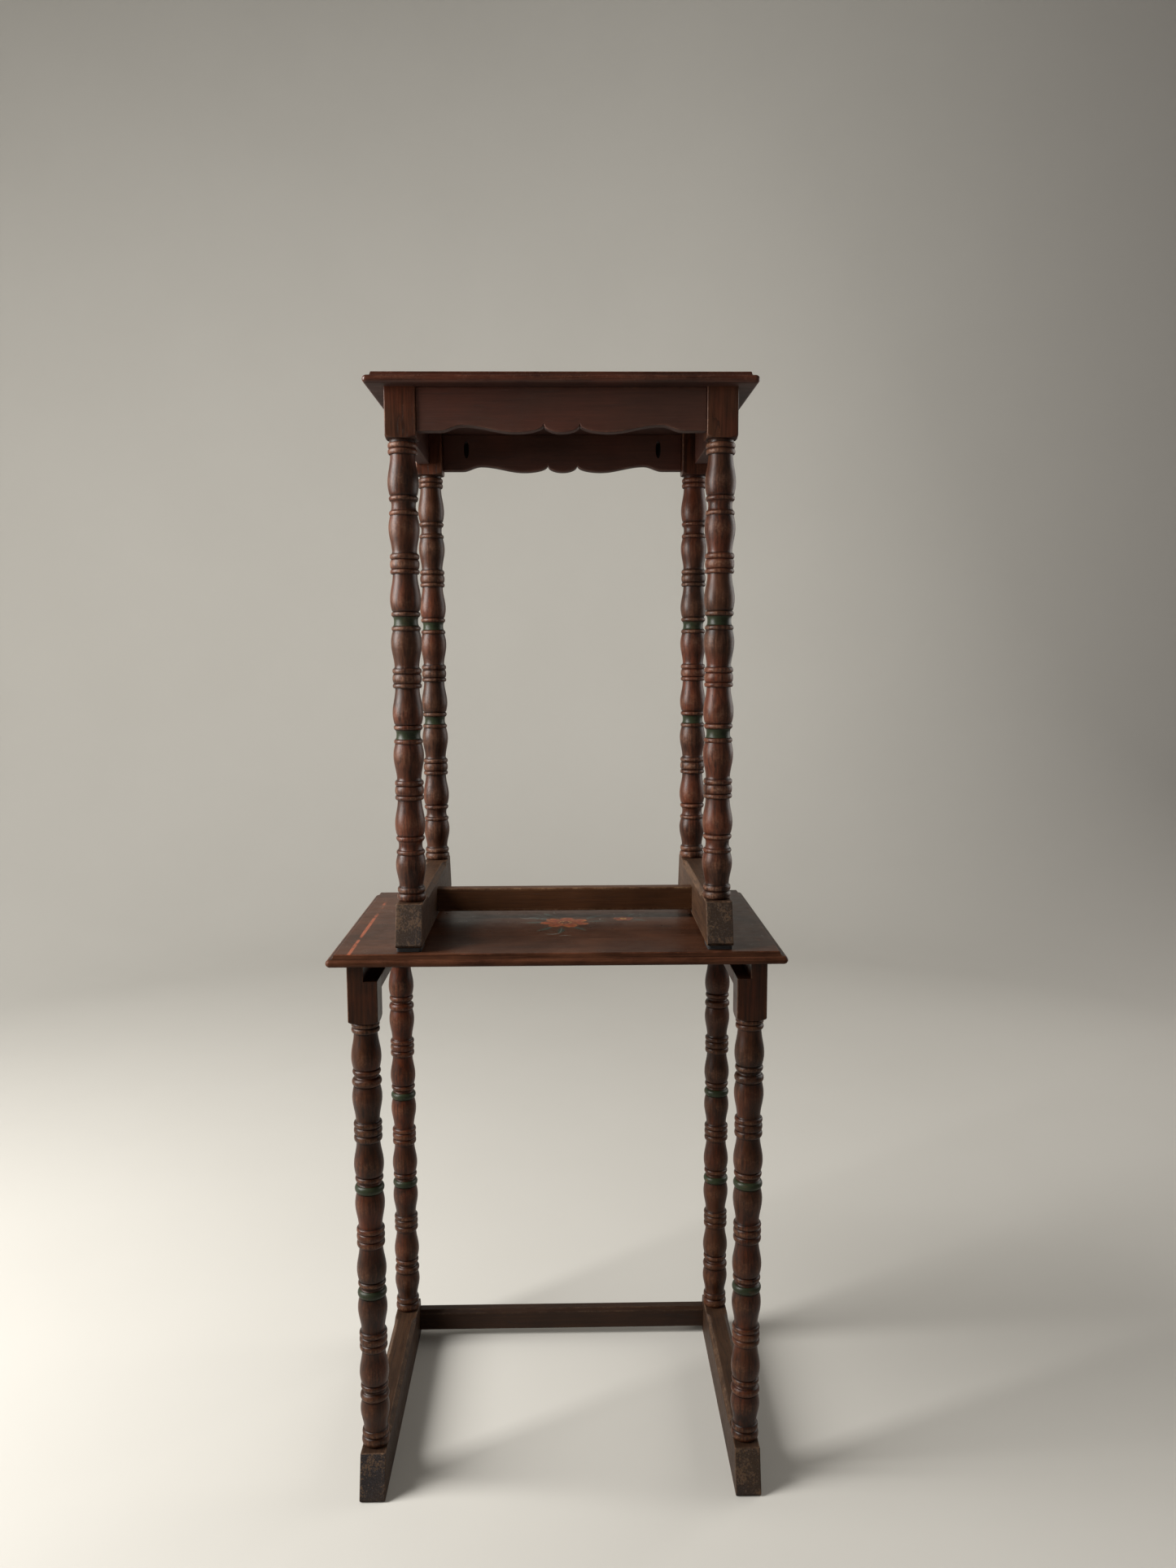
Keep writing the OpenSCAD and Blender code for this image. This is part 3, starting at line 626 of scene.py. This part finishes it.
def leg(node, body, large, seed):
    low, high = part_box(node)
    cx, cy = (low.x + high.x) / 2, (low.y + high.y) / 2
    side = "left" if "left" in node else "right"
    foot_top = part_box(("large" if large else "small") + "_foot_" + side)[1].z
    block_h = LARGE_BLOCK_H if large else SMALL_BLOCK_H
    half = LEG_SQ / 2
    shape = Shape()
    notch = None
    if large:
        sx = 1 if side == "right" else -1
        cut = half - GROOVE_W
        if "front" in node:
            notch = [(-cut, -half), (half, -half), (half, half), (-cut, half)]
        else:
            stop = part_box("large_rear_rail")[0].y - cy
            notch = [(-cut, -half), (half, -half), (half, half), (-half, half), (-half, stop), (-cut, stop)]
        if sx < 0:
            notch = [(-u, v) for u, v in reversed(notch)]
    block(shape, cx, cy, high.z - block_h, high.z, half, notch)
    shaft(shape, cx, cy, high.z - block_h, high.z - block_h - foot_top, large, seed)
    shape.finish(node + "_turned", body, [node], LEGS["large" if large else "small"])


for i, (size, body) in enumerate((("large", "large_table"), ("small", "small_table"))):
    for j, corner in enumerate(("front_left", "front_right", "rear_left", "rear_right")):
        leg(f"{size}_leg_{corner}", body, size == "large", 3.7 * (4 * i + j) + 1.3)

# ---------------------------------------------------------------- moulded tops


def edge_profile():
    """(inset, height, wear, dirt) up the edge of a top, in mm: nose, quirk, cove, arris; dirt is painted shade
    with grime in the quirk and cove.
    """
    out = [(5.5, 0, 0, 0)]
    for i in range(13):
        a = math.radians(-90 + 15 * i)
        wear = max(0.0, math.sin(a + 0.9)) ** 2 * (0.42 if a > -0.7 else 0.1)
        out.append((4.3 - 4.3 * math.cos(a), 4.3 + 4.3 * math.sin(a), wear, 0.0 if i < 12 else 0.75))
    out.append((4.85, 8.55, 0.0, 1.0))
    for i in range(1, 7):
        a = math.radians(15 * i)
        out.append((4.9 + 3 * math.sin(a), 8.6 + 3 * (1 - math.cos(a)), 0.12, 0.55 - 0.08 * i))
    out += [(8.1, 12.1, 0.7, 0), (8.35, 12.65, 1.0, 0), (8.8, 12.95, 0.9, 0), (9.5, 13.0, 0.5, 0),
            (13.0, 13.0, 0, 0)]
    return out


FLOWERS = [
    # centre x and y, radius, squash in y, petals, turn, petal colour, heart colour (mm from the top's centre)
    (8, -21, 30, 0.86, 7, 0.35, (0.27, 0.054, 0.018), (0.08, 0.022, 0.010)),
    (79, -3, 13, 0.85, 5, 0.9, (0.24, 0.048, 0.024), (0.15, 0.045, 0.02)),
]
LEAVES = [
    # base x and y, heading in degrees, length, half width, colour
    (-12, -4, 152, 30, 5.0, (0.066, 0.080, 0.072)), (-4, 8, 122, 27, 4.5, (0.052, 0.064, 0.056)),
    (-18, -18, 186, 25, 4.2, (0.034, 0.042, 0.034)), (-8, -44, 228, 27, 4.8, (0.026, 0.032, 0.022)),
    (4, -49, 262, 30, 5.0, (0.028, 0.033, 0.023)), (18, -45, 308, 24, 4.4, (0.026, 0.030, 0.022)),
    (34, -2, 40, 24, 4.2, (0.046, 0.054, 0.048)), (36, -18, 6, 24, 3.6, (0.036, 0.042, 0.034)),
    (86, 8, 62, 20, 3.4, (0.052, 0.062, 0.054)), (90, -9, 338, 20, 3.4, (0.038, 0.046, 0.038)),
]
STROKES = [
    # start x and y, heading, length, half width, bend, colour: thin pale highlights and stems
    (-28, 4, 170, 24, 1.5, 9, (0.25, 0.27, 0.26)), (-20, 16, 152, 20, 1.2, -7, (0.21, 0.23, 0.22)),
    (-16, -78, 14, 22, 1.4, -8, (0.22, 0.24, 0.22)), (0, -88, 352, 18, 1.1, 7, (0.20, 0.22, 0.20)),
    (-14, -64, 320, 15, 1.0, 5, (0.16, 0.19, 0.16)), (-2, 22, 98, 18, 1.0, 5, (0.15, 0.18, 0.17)),
    (36, -10, 8, 34, 1.0, 6, (0.050, 0.066, 0.050)), (96, 4, 20, 16, 0.9, -4, (0.17, 0.19, 0.18)),
]


def flower_paint(x, y):
    """Cover and colour of a generic painted spray at points given in mm from the top's centre."""
    cover = np.zeros_like(x)
    colour = np.zeros((len(x), 3))

    def lay(mask, shade):
        mask = np.clip(mask, 0, 1)
        if np.ndim(shade) == 1:
            shade = np.broadcast_to(np.array(shade), colour.shape)
        colour[:] = np.where(cover[:, None] < 1e-4, shade, colour * (1 - mask[:, None]) + shade * mask[:, None])
        cover[:] = np.maximum(cover * (1 - mask) + mask, cover)

    for bx, by, heading, length, half, bend, shade in [(*leaf[:5], 3, leaf[5]) for leaf in LEAVES] + STROKES:
        a = math.radians(heading)
        u = (x - bx) * math.cos(a) + (y - by) * math.sin(a)
        v = -(x - bx) * math.sin(a) + (y - by) * math.cos(a)
        t = np.clip(u / length, 0, 1)
        v = v - bend * np.sin(math.pi * t) * 0.5
        width = half * np.sin(math.pi * t ** 0.7) ** 0.8
        inside = (width - np.abs(v)) / 0.9 * (u > 0) * (u < length)
        rib = np.clip(1.2 - np.abs(v) / 0.8, 0, 1)[:, None] * 0.5 if half > 3 else 0.0
        base = np.array(shade) * (0.8 + 0.4 * t[:, None])
        lay(inside * 0.85, base * (1 - rib) + np.array((0.16, 0.18, 0.16)) * rib)
    for fx, fy, radius, squash, petals, turn, shade, heart in FLOWERS:
        dx, dy = x - fx, (y - fy) / squash
        dist = np.hypot(dx, dy)
        for layer, reach in ((0, 1.0), (1, 0.62)):
            angle = np.arctan2(dy, dx) + turn + layer * math.pi / petals
            lobe = np.abs(np.cos(angle * petals / 2))
            edge = radius * reach * (0.62 + 0.38 * lobe ** 0.7)
            ripple = 0.6 * np.sin(angle * petals * 4) * reach
            inside = (edge + ripple - dist) / 1.1
            t = np.clip(dist / edge, 0, 1)[:, None]
            veins = 0.5 + 0.5 * np.sin(angle * petals * 3 + dist * 0.2)[:, None]
            rim = np.clip((t - 0.72) / 0.28, 0, 1)
            dab = 0.5 + 0.5 * np.sin(angle * petals * 1.5 + 2.1 * layer + np.sin(dist * 0.35))[:, None]
            body = np.array(shade) * (0.42 + 0.58 * t) * (0.80 + 0.20 * veins)
            tips = np.array((0.22, 0.13, 0.02)) * rim * dab * 0.55
            body = body * (1 - 0.6 * rim * (1 - lobe[:, None])) + tips
            lay(inside, body * (1.0 if layer == 0 else 0.86))
        lay((radius * 0.2 - dist) / 1.0, heart)
        for k in range(9):
            a = k * 2.4
            sx, sy = fx + radius * 0.24 * math.cos(a), fy + radius * 0.24 * squash * math.sin(a)
            lay((1.5 - np.hypot(x - sx, y - sy)) / 0.8, (0.46, 0.27, 0.08))
    return cover, colour


def board(node, body, material, name, painted=False):
    low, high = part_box(node)
    cx, cy = (low.x + high.x) / 2, (low.y + high.y) / 2
    hx, hy = (high.x - low.x) / 2, (high.y - low.y) / 2
    outline = dense(box_outline(-hx, -hy, hx, hy, 5 * MM), 25 * MM)
    shape = Shape()
    rings = []
    for inset, z, wear, dirt in edge_profile():
        pts, rim = rounded(outline, inset * MM, 3 * MM, 6)
        rings.append(shape.ring([(cx + p[0], cy + p[1], low.z + z * MM) for p in pts],
                                wear=np.clip(wear * (1 + 0.5 * np.maximum(rim, 0)), 0, 1), dirt=dirt))
    for r1, r2 in zip(rings, rings[1:]):
        shape.bridge(r1, r2)
    shape.cap(rings[0], flip=True)
    flower, tint = None, None
    if not painted:
        shape.cap(rings[-1])
    else:
        # A fine grid under the painted spray, joined to the edge by a flat triangulated field
        gx, gy = np.arange(-78, 132, 0.7) * MM, np.arange(-112, 60, 0.8) * MM
        grid = [[(cx + u, cy + v, high.z) for u in gx] for v in gy]
        rows = [shape.ring(line) for line in grid]
        for a, b in zip(rows, rows[1:]):
            for i in range(len(gx) - 1):
                shape.faces.append((a[i], a[i + 1], b[i + 1], b[i]))
        rim_ids = (list(rows[0]) + [r[-1] for r in rows[1:]] + list(reversed(rows[-1]))[1:]
                   + [r[0] for r in reversed(rows[1:-1])])
        outer = list(rings[-1])
        ids = outer + rim_ids
        flat = [Vector(shape.verts[i][:2]) for i in ids]
        n, m = len(outer), len(rim_ids)
        edges = [(i, (i + 1) % n) for i in range(n)] + [(n + i, n + (i + 1) % m) for i in range(m)]
        done = geometry.delaunay_2d_cdt(flat, edges, [], 0, 1e-7)
        x0, x1, y0, y1 = cx + gx[0], cx + gx[-1], cy + gy[0], cy + gy[-1]
        for tri in done[2]:
            mx = sum(done[0][k].x for k in tri) / 3
            my = sum(done[0][k].y for k in tri) / 3
            if x0 < mx < x1 and y0 < my < y1:
                continue
            face = [ids[done[3][k][0]] for k in tri]
            a, b, c = (Vector(shape.verts[k]) for k in face)
            shape.faces.append(tuple(face if (b - a).cross(c - a).z > 0 else reversed(face)))
        xy = np.array(shape.verts)[:, :2]
        flower, tint = flower_paint((xy[:, 0] - cx) / MM, (xy[:, 1] - cy) / MM)
        on_grid = np.zeros(len(xy))
        on_grid[rows[0][0]:rows[-1][-1] + 1] = 1
        flower = flower * on_grid
    obj = shape.finish(name, body, [node], material, sharp=32)
    if painted:
        covers = obj.data.attributes.new("flower", "FLOAT", "POINT")
        covers.data.foreach_set("value", flower.astype(np.float32))
        rgba = np.ones((len(tint), 4), np.float32)
        rgba[:, :3] = tint
        tints = obj.data.attributes.new("flower_colour", "FLOAT_COLOR", "POINT")
        tints.data.foreach_set("color", rgba.ravel())


board("large_top", "large_table", TOP_LARGE, "large_top_board", painted=True)
board("small_top", "small_table", TOP_SMALL, "small_top_board")

# ---------------------------------------------------------------- aprons, rails and stretchers


def scalloped_outline(half):
    """Front view of an apron below its top edge at v = 0, counterclockwise; metres."""
    end, shoulder, dip, cusp = 129, 105, 49, 19     # mm from the middle, where the curve changes

    def rise(x):
        if x >= shoulder:
            return 6 * (1 + math.cos(math.pi * (x - shoulder) / (end - shoulder))) / 2
        if x >= dip:
            return 2.3 - 3.7 * math.cos(math.pi * (x - dip) / (shoulder - dip))
        t = (dip - x) / (dip - cusp) if x >= cusp else x / cusp
        return 7 - 8.4 * math.sqrt(max(0.0, 1 - t * t))

    xs = [end - (end - shoulder) * i / 10 for i in range(10)]
    xs += [shoulder - (shoulder - dip) * i / 16 for i in range(16)]
    xs += [dip - (dip - cusp) * math.sin(math.pi / 2 * i / 12) for i in range(12)]
    xs += [cusp * math.cos(math.pi / 2 * i / 12) for i in range(12)]
    curve = [(x * MM, (rise(x) - 45) * MM) for x in xs]
    left = [(-x, v, 0) for x, v in curve]
    right = [(x, v, 0) for x, v in reversed(curve)]
    return ([(-half, 0, 0.5 * MM), (-half, -45 * MM, 0.5 * MM)] + left + [(0, -46.4 * MM, 0)] + right
            + [(half, -45 * MM, 0.5 * MM), (half, 0, 0.5 * MM)])


POCKET_X, POCKET_R, POCKET_DROP = 123 * MM, 3.3 * MM, 19 * MM     # from the middle, radius, below the top
POCKET_LEAN = math.radians(18)
POCKET_SIDES = 40


def pocket_cutter():
    """Mesh of the two leaning rods that cut the pocket-screw holes of an apron."""
    cutter = bpy.data.meshes.new("pocket_cutter")
    verts, faces = [], []
    n = POCKET_SIDES
    for sx in (-1, 1):
        first = len(verts)
        for w in (-20 * MM, 13 * MM):
            for k in range(n):
                a = 2 * math.pi * k / n
                u, v = POCKET_R * math.cos(a), POCKET_R * math.sin(a)
                y = v * math.cos(POCKET_LEAN) - w * math.sin(POCKET_LEAN)
                z = v * math.sin(POCKET_LEAN) + w * math.cos(POCKET_LEAN)
                verts.append((sx * POCKET_X + u, y, z))
        faces += [(first + k, first + (k + 1) % n, first + n + (k + 1) % n, first + n + k) for k in range(n)]
        faces += [tuple(range(first + n - 1, first - 1, -1)), tuple(range(first + n, first + 2 * n))]
    cutter.from_pydata(verts, [], faces)
    return cutter


def apron(node):
    low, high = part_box(node)
    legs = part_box("small_leg_front_left")[1].x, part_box("small_leg_front_right")[0].x
    cx = (low.x + high.x) / 2
    half = (legs[1] - legs[0]) / 2 + 0.1 * MM
    facing = -1 if "front" in node else 1
    shape = Shape()
    place = lambda u, v, w: (cx - facing * u, (low.y if facing < 0 else high.y) - facing * w, high.z + v)
    prism(shape, scalloped_outline(half), 0.0, high.y - low.y, place, edge=1.0 * MM, support=1.4 * MM)
    obj = shape.finish(node + "_board", "small_table", [node], RAIL_X, sharp=42)
    # Pocket-screw holes on the inner face
    tool = bpy.data.objects.new("pocket_cutter", pocket_cutter())
    bpy.context.scene.collection.objects.link(tool)
    inner_y = high.y if facing < 0 else low.y
    turn = Matrix.Rotation(0 if facing < 0 else math.pi, 4, "Z")
    tool.matrix_world = Matrix.Translation((cx, inner_y, high.z - POCKET_DROP)) @ turn
    cut = obj.modifiers.new("pockets", "BOOLEAN")
    cut.operation, cut.object, cut.solver = "DIFFERENCE", tool, "EXACT"
    bpy.context.view_layer.update()
    dg = bpy.context.evaluated_depsgraph_get()
    made = bpy.data.meshes.new_from_object(
        obj.evaluated_get(dg), preserve_all_data_layers=True, depsgraph=dg
    )
    obj.modifiers.clear()
    obj.data = made
    made.name = node + "_board"
    bpy.data.objects.remove(tool)
    made.set_sharp_from_angle(angle=math.radians(42))
    # The holes are painted near-black inside as shade, and their rims stay crisp
    made.materials.append(POCKET_SHADE)
    co = np.empty(len(made.vertices) * 3)
    made.vertices.foreach_get("co", co)
    co = co.reshape(-1, 3)
    beside = np.abs(np.abs(co[:, 0] - cx) - POCKET_X) < POCKET_R + 0.1 * MM
    near = beside & (co[:, 2] > high.z - 40 * MM)
    on_face = near & (np.abs(co[:, 1] - inner_y) < 0.02 * MM)
    for e in made.edges:
        if all(on_face[v] for v in e.vertices):
            e.use_edge_sharp = True
    for f in made.polygons:
        if all(near[v] for v in f.vertices) and not all(on_face[v] for v in f.vertices):
            f.material_index = 1


apron("small_front_apron")
apron("small_rear_apron")

small_block_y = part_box("small_leg_front_left")[1].y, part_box("small_leg_rear_left")[0].y
for side in ("left", "right"):
    low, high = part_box(f"small_side_apron_{side}")
    shape = Shape()
    prism(shape, box_outline(low.x, low.z, high.x, high.z), small_block_y[0] - JOINT_LAP,
          small_block_y[1] + JOINT_LAP, lambda u, v, w: (u, w, v), edge=BUTT_EDGE, stations=3)
    shape.finish(f"small_side_apron_{side}_board", "small_table",
                 [f"small_side_apron_{side}"], RAIL_Y)

large_block_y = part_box("large_leg_front_left")[1].y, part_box("large_leg_rear_left")[0].y
for side, sx in (("left", -1), ("right", 1)):
    low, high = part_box(f"large_side_rail_{side}")
    outer, inner = (low.x, high.x) if sx < 0 else (high.x, low.x)
    step_x = inner + sx * GROOVE_W
    ledge = high.z - GROOVE_H
    points = [(u, v, ARRIS) for u, v in ((outer, low.z), (inner, low.z), (inner, ledge), (step_x, ledge),
                                         (step_x, high.z), (outer, high.z))]
    if sx > 0:
        points = points[::-1]
    shape = Shape()
    prism(shape, points, large_block_y[0] - JOINT_LAP, large_block_y[1] + JOINT_LAP, lambda u, v, w: (u, w, v),
          edge=BUTT_EDGE, support=2 * MM, stations=3)
    shape.finish(f"large_side_rail_{side}_bar", "large_table",
                 [f"large_side_rail_{side}"], RAIL_Y)

low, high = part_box("large_rear_rail")
rear_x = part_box("large_leg_rear_left")[1].x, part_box("large_leg_rear_right")[0].x
shape = Shape()
prism(shape, box_outline(low.y, low.z, high.y, high.z), rear_x[0] - JOINT_LAP, rear_x[1] + JOINT_LAP,
      lambda u, v, w: (w, u, v), edge=BUTT_EDGE, stations=5)
shape.finish("large_rear_rail_board", "large_table", ["large_rear_rail"], RAIL_X)

for size, chamfer in (("large", 4 * MM), ("small", 0.0)):
    low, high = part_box(f"{size}_stretcher")
    left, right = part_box(f"{size}_foot_left")[1].x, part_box(f"{size}_foot_right")[0].x
    r = 1.2 * MM
    points = [(low.y, low.z, r), (high.y, low.z, r), (high.y, high.z, r)]
    points += ([(low.y + chamfer, high.z, 0.7 * MM), (low.y, high.z - chamfer, 0.7 * MM)] if chamfer
               else [(low.y, high.z, r)])
    shape = Shape()
    prism(shape, points, left - JOINT_LAP, right + JOINT_LAP, lambda u, v, w: (w, u, v), edge=BUTT_EDGE,
          stations=9, support=2 * MM)
    shape.finish(f"{size}_stretcher_bar", f"{size}_table", [f"{size}_stretcher"],
                 STRETCHER[size])

# ---------------------------------------------------------------- sled feet and pads


def foot(size, side):
    node = f"{size}_foot_{side}"
    low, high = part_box(node)
    cy = (low.y + high.y) / 2
    toe = high.y - cy
    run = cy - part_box(f"{size}_leg_front_{side}")[1].y - 8 * MM     # half the chamfered length
    rake = 14 * MM
    base, top = low.z, high.z
    flat_top = toe - rake
    poly = [(-toe + 2 * MM, base, 2.2 * MM), (toe - 2 * MM, base, 2.2 * MM), (toe, base + 3 * MM, 1.6 * MM),
            (flat_top, top, 1.3 * MM)]
    size_of = [ARRIS] * 4
    kind = [0.0] * 4
    full = 5 * MM
    steps = [(run, 0.9), (run - 1.5 * MM, 1.6), (run - 3.5 * MM, 2.9), (run - 6 * MM, 4.2), (run - 9 * MM, 5.0)]
    for y, c in steps:
        poly.append((y, top, 0))
        size_of.append(c * MM)
        kind.append(min(1.0, (c - 0.9) / 3))
    for y in np.linspace(run - 25 * MM, -run + 25 * MM, 7):
        poly.append((float(y), top, 0))
        size_of.append(full)
        kind.append(1.0)
    for y, c in reversed(steps):
        poly.append((-y, top, 0))
        size_of.append(c * MM)
        kind.append(min(1.0, (c - 0.9) / 3))
    poly += [(-flat_top, top, 1.3 * MM), (-toe, base + 3 * MM, 1.6 * MM)]
    size_of += [ARRIS] * 2
    kind += [0.0] * 2
    shape = Shape()
    prism(shape, poly, low.x, high.x, lambda u, v, w: (w, cy + u, v), edge=size_of, flat=kind, support=2.0 * MM)
    shape.finish(node + "_sled", f"{size}_table", [node], FOOT[size], sharp=30)


for size in ("large", "small"):
    for side in ("left", "right"):
        foot(size, side)

PAD_X, PAD_Y = 27 * MM, 34 * MM
low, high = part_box("small_foot_pads")
shape = Shape()
for sx in (-1, 1):
    for sy in (-1, 1):
        x0, x1 = (low.x, low.x + PAD_X) if sx < 0 else (high.x - PAD_X, high.x)
        y0, y1 = (low.y, low.y + PAD_Y) if sy < 0 else (high.y - PAD_Y, high.y)
        prism(shape, box_outline(x0, y0, x1, y1, 2.5 * MM), low.z, high.z, lambda u, v, w: (u, v, w),
              edge=1.2 * MM, support=1.5 * MM)
shape.finish("small_foot_felt_pads", "small_table", ["small_foot_pads"], PAD)

for node, material in (("large_top_dowels", DOWEL), ("small_top_screws", STEEL)):
    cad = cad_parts[node]
    cad.data.materials.clear()
    cad.data.materials.append(material)

# ---------------------------------------------------------------- floor, light and camera


def backdrop(sides=96):
    """Pale floor that turns up into a far wall on every side, painted darker towards +X as shade."""
    profile = [(0.0, 0.0), (0.6, 0.0), (1.4, 0.0), (2.3, 0.0)]
    profile += [(2.3 + 0.9 * math.sin(math.radians(a)), 0.9 * (1 - math.cos(math.radians(a))))
                for a in range(10, 91, 10)]
    profile += [(3.2, 2.2), (3.2, 4.5)]
    verts, faces = [], []
    for r, z in profile[1:]:
        turns = [2 * math.pi * k / sides for k in range(sides)]
        verts += [(r * math.cos(a), r * math.sin(a), z) for a in turns]
    faces.append(tuple(range(sides)))
    for i in range(len(profile) - 2):
        for k in range(sides):
            a, b = i * sides + k, i * sides + (k + 1) % sides
            faces.append((a, a + sides, b + sides, b))
    mesh = bpy.data.meshes.new("backdrop")
    mesh.from_pydata(verts, [], faces)
    mesh.shade_smooth()
    g = Graph("pale_floor")
    n = g.noise(g.place, scale=3, detail=3)
    pale = g.mix(n, (0.455, 0.44, 0.405), (0.48, 0.465, 0.43))
    # Painted shade: the floor and wall darken towards +X, as though lit only from -X
    shade_towards_right = g.step(g.split(g.place)[0], 0.3, 2.8)
    g.put(g.bsdf.inputs["Base Color"], g.mix(shade_towards_right, pale, (0.17, 0.16, 0.148)))
    g.bsdf.inputs["Roughness"].default_value = 0.75
    mesh.materials.append(g.mat)
    obj = bpy.data.objects.new("backdrop", mesh)
    bpy.context.scene.collection.objects.link(obj)


backdrop()


def area_light(name, location, target, size, energy, colour):
    data = bpy.data.lights.new(name, "AREA")
    data.shape, data.size, data.size_y = "RECTANGLE", size[0], size[1]
    data.energy, data.color = energy, colour
    obj = bpy.data.objects.new(name, data)
    obj.location = location
    obj.rotation_mode = "QUATERNION"
    obj.rotation_quaternion = (Vector(target) - Vector(location)).to_track_quat("-Z", "Y")
    bpy.context.scene.collection.objects.link(obj)


area_light("window", (-2.0, -0.45, 1.7), (0.35, 0.75, 0.8), (1.2, 1.8), 152, (1.0, 0.985, 0.96))
area_light("fill", (1.7, -1.9, 2.1), (0.0, 0.0, 0.7), (1.6, 1.6), 1.2, (1.0, 0.96, 0.92))
area_light("right_fill", (2.3, 1.0, 1.4), (0.0, 0.0, 0.6), (1.8, 1.8), 34, (1.0, 0.97, 0.93))
world = bpy.data.worlds.new("studio")
world.use_nodes = True
world.node_tree.nodes["Background"].inputs[0].default_value = (1.0, 0.975, 0.94, 1)
world.node_tree.nodes["Background"].inputs[1].default_value = 0.07
bpy.context.scene.world = world
bpy.context.scene.view_settings.view_transform = "Standard"

# The photograph's viewing angle and framing
camera_data = bpy.data.cameras.new("camera")
camera_data.lens = 27.05
camera_data.sensor_width = 36
camera_data.clip_start = 0.05
camera = bpy.data.objects.new("camera", camera_data)
camera.matrix_world = (
    Matrix.Translation((0.01064, -1.41174, 0.95832))
    @ Matrix.Rotation(-0.018468, 4, "Z")
    @ Matrix.Rotation(math.pi / 2 - 0.113626, 4, "X")
    @ Matrix.Rotation(-0.003586, 4, "Z")
)
bpy.context.scene.collection.objects.link(camera)
bpy.context.scene.camera = camera
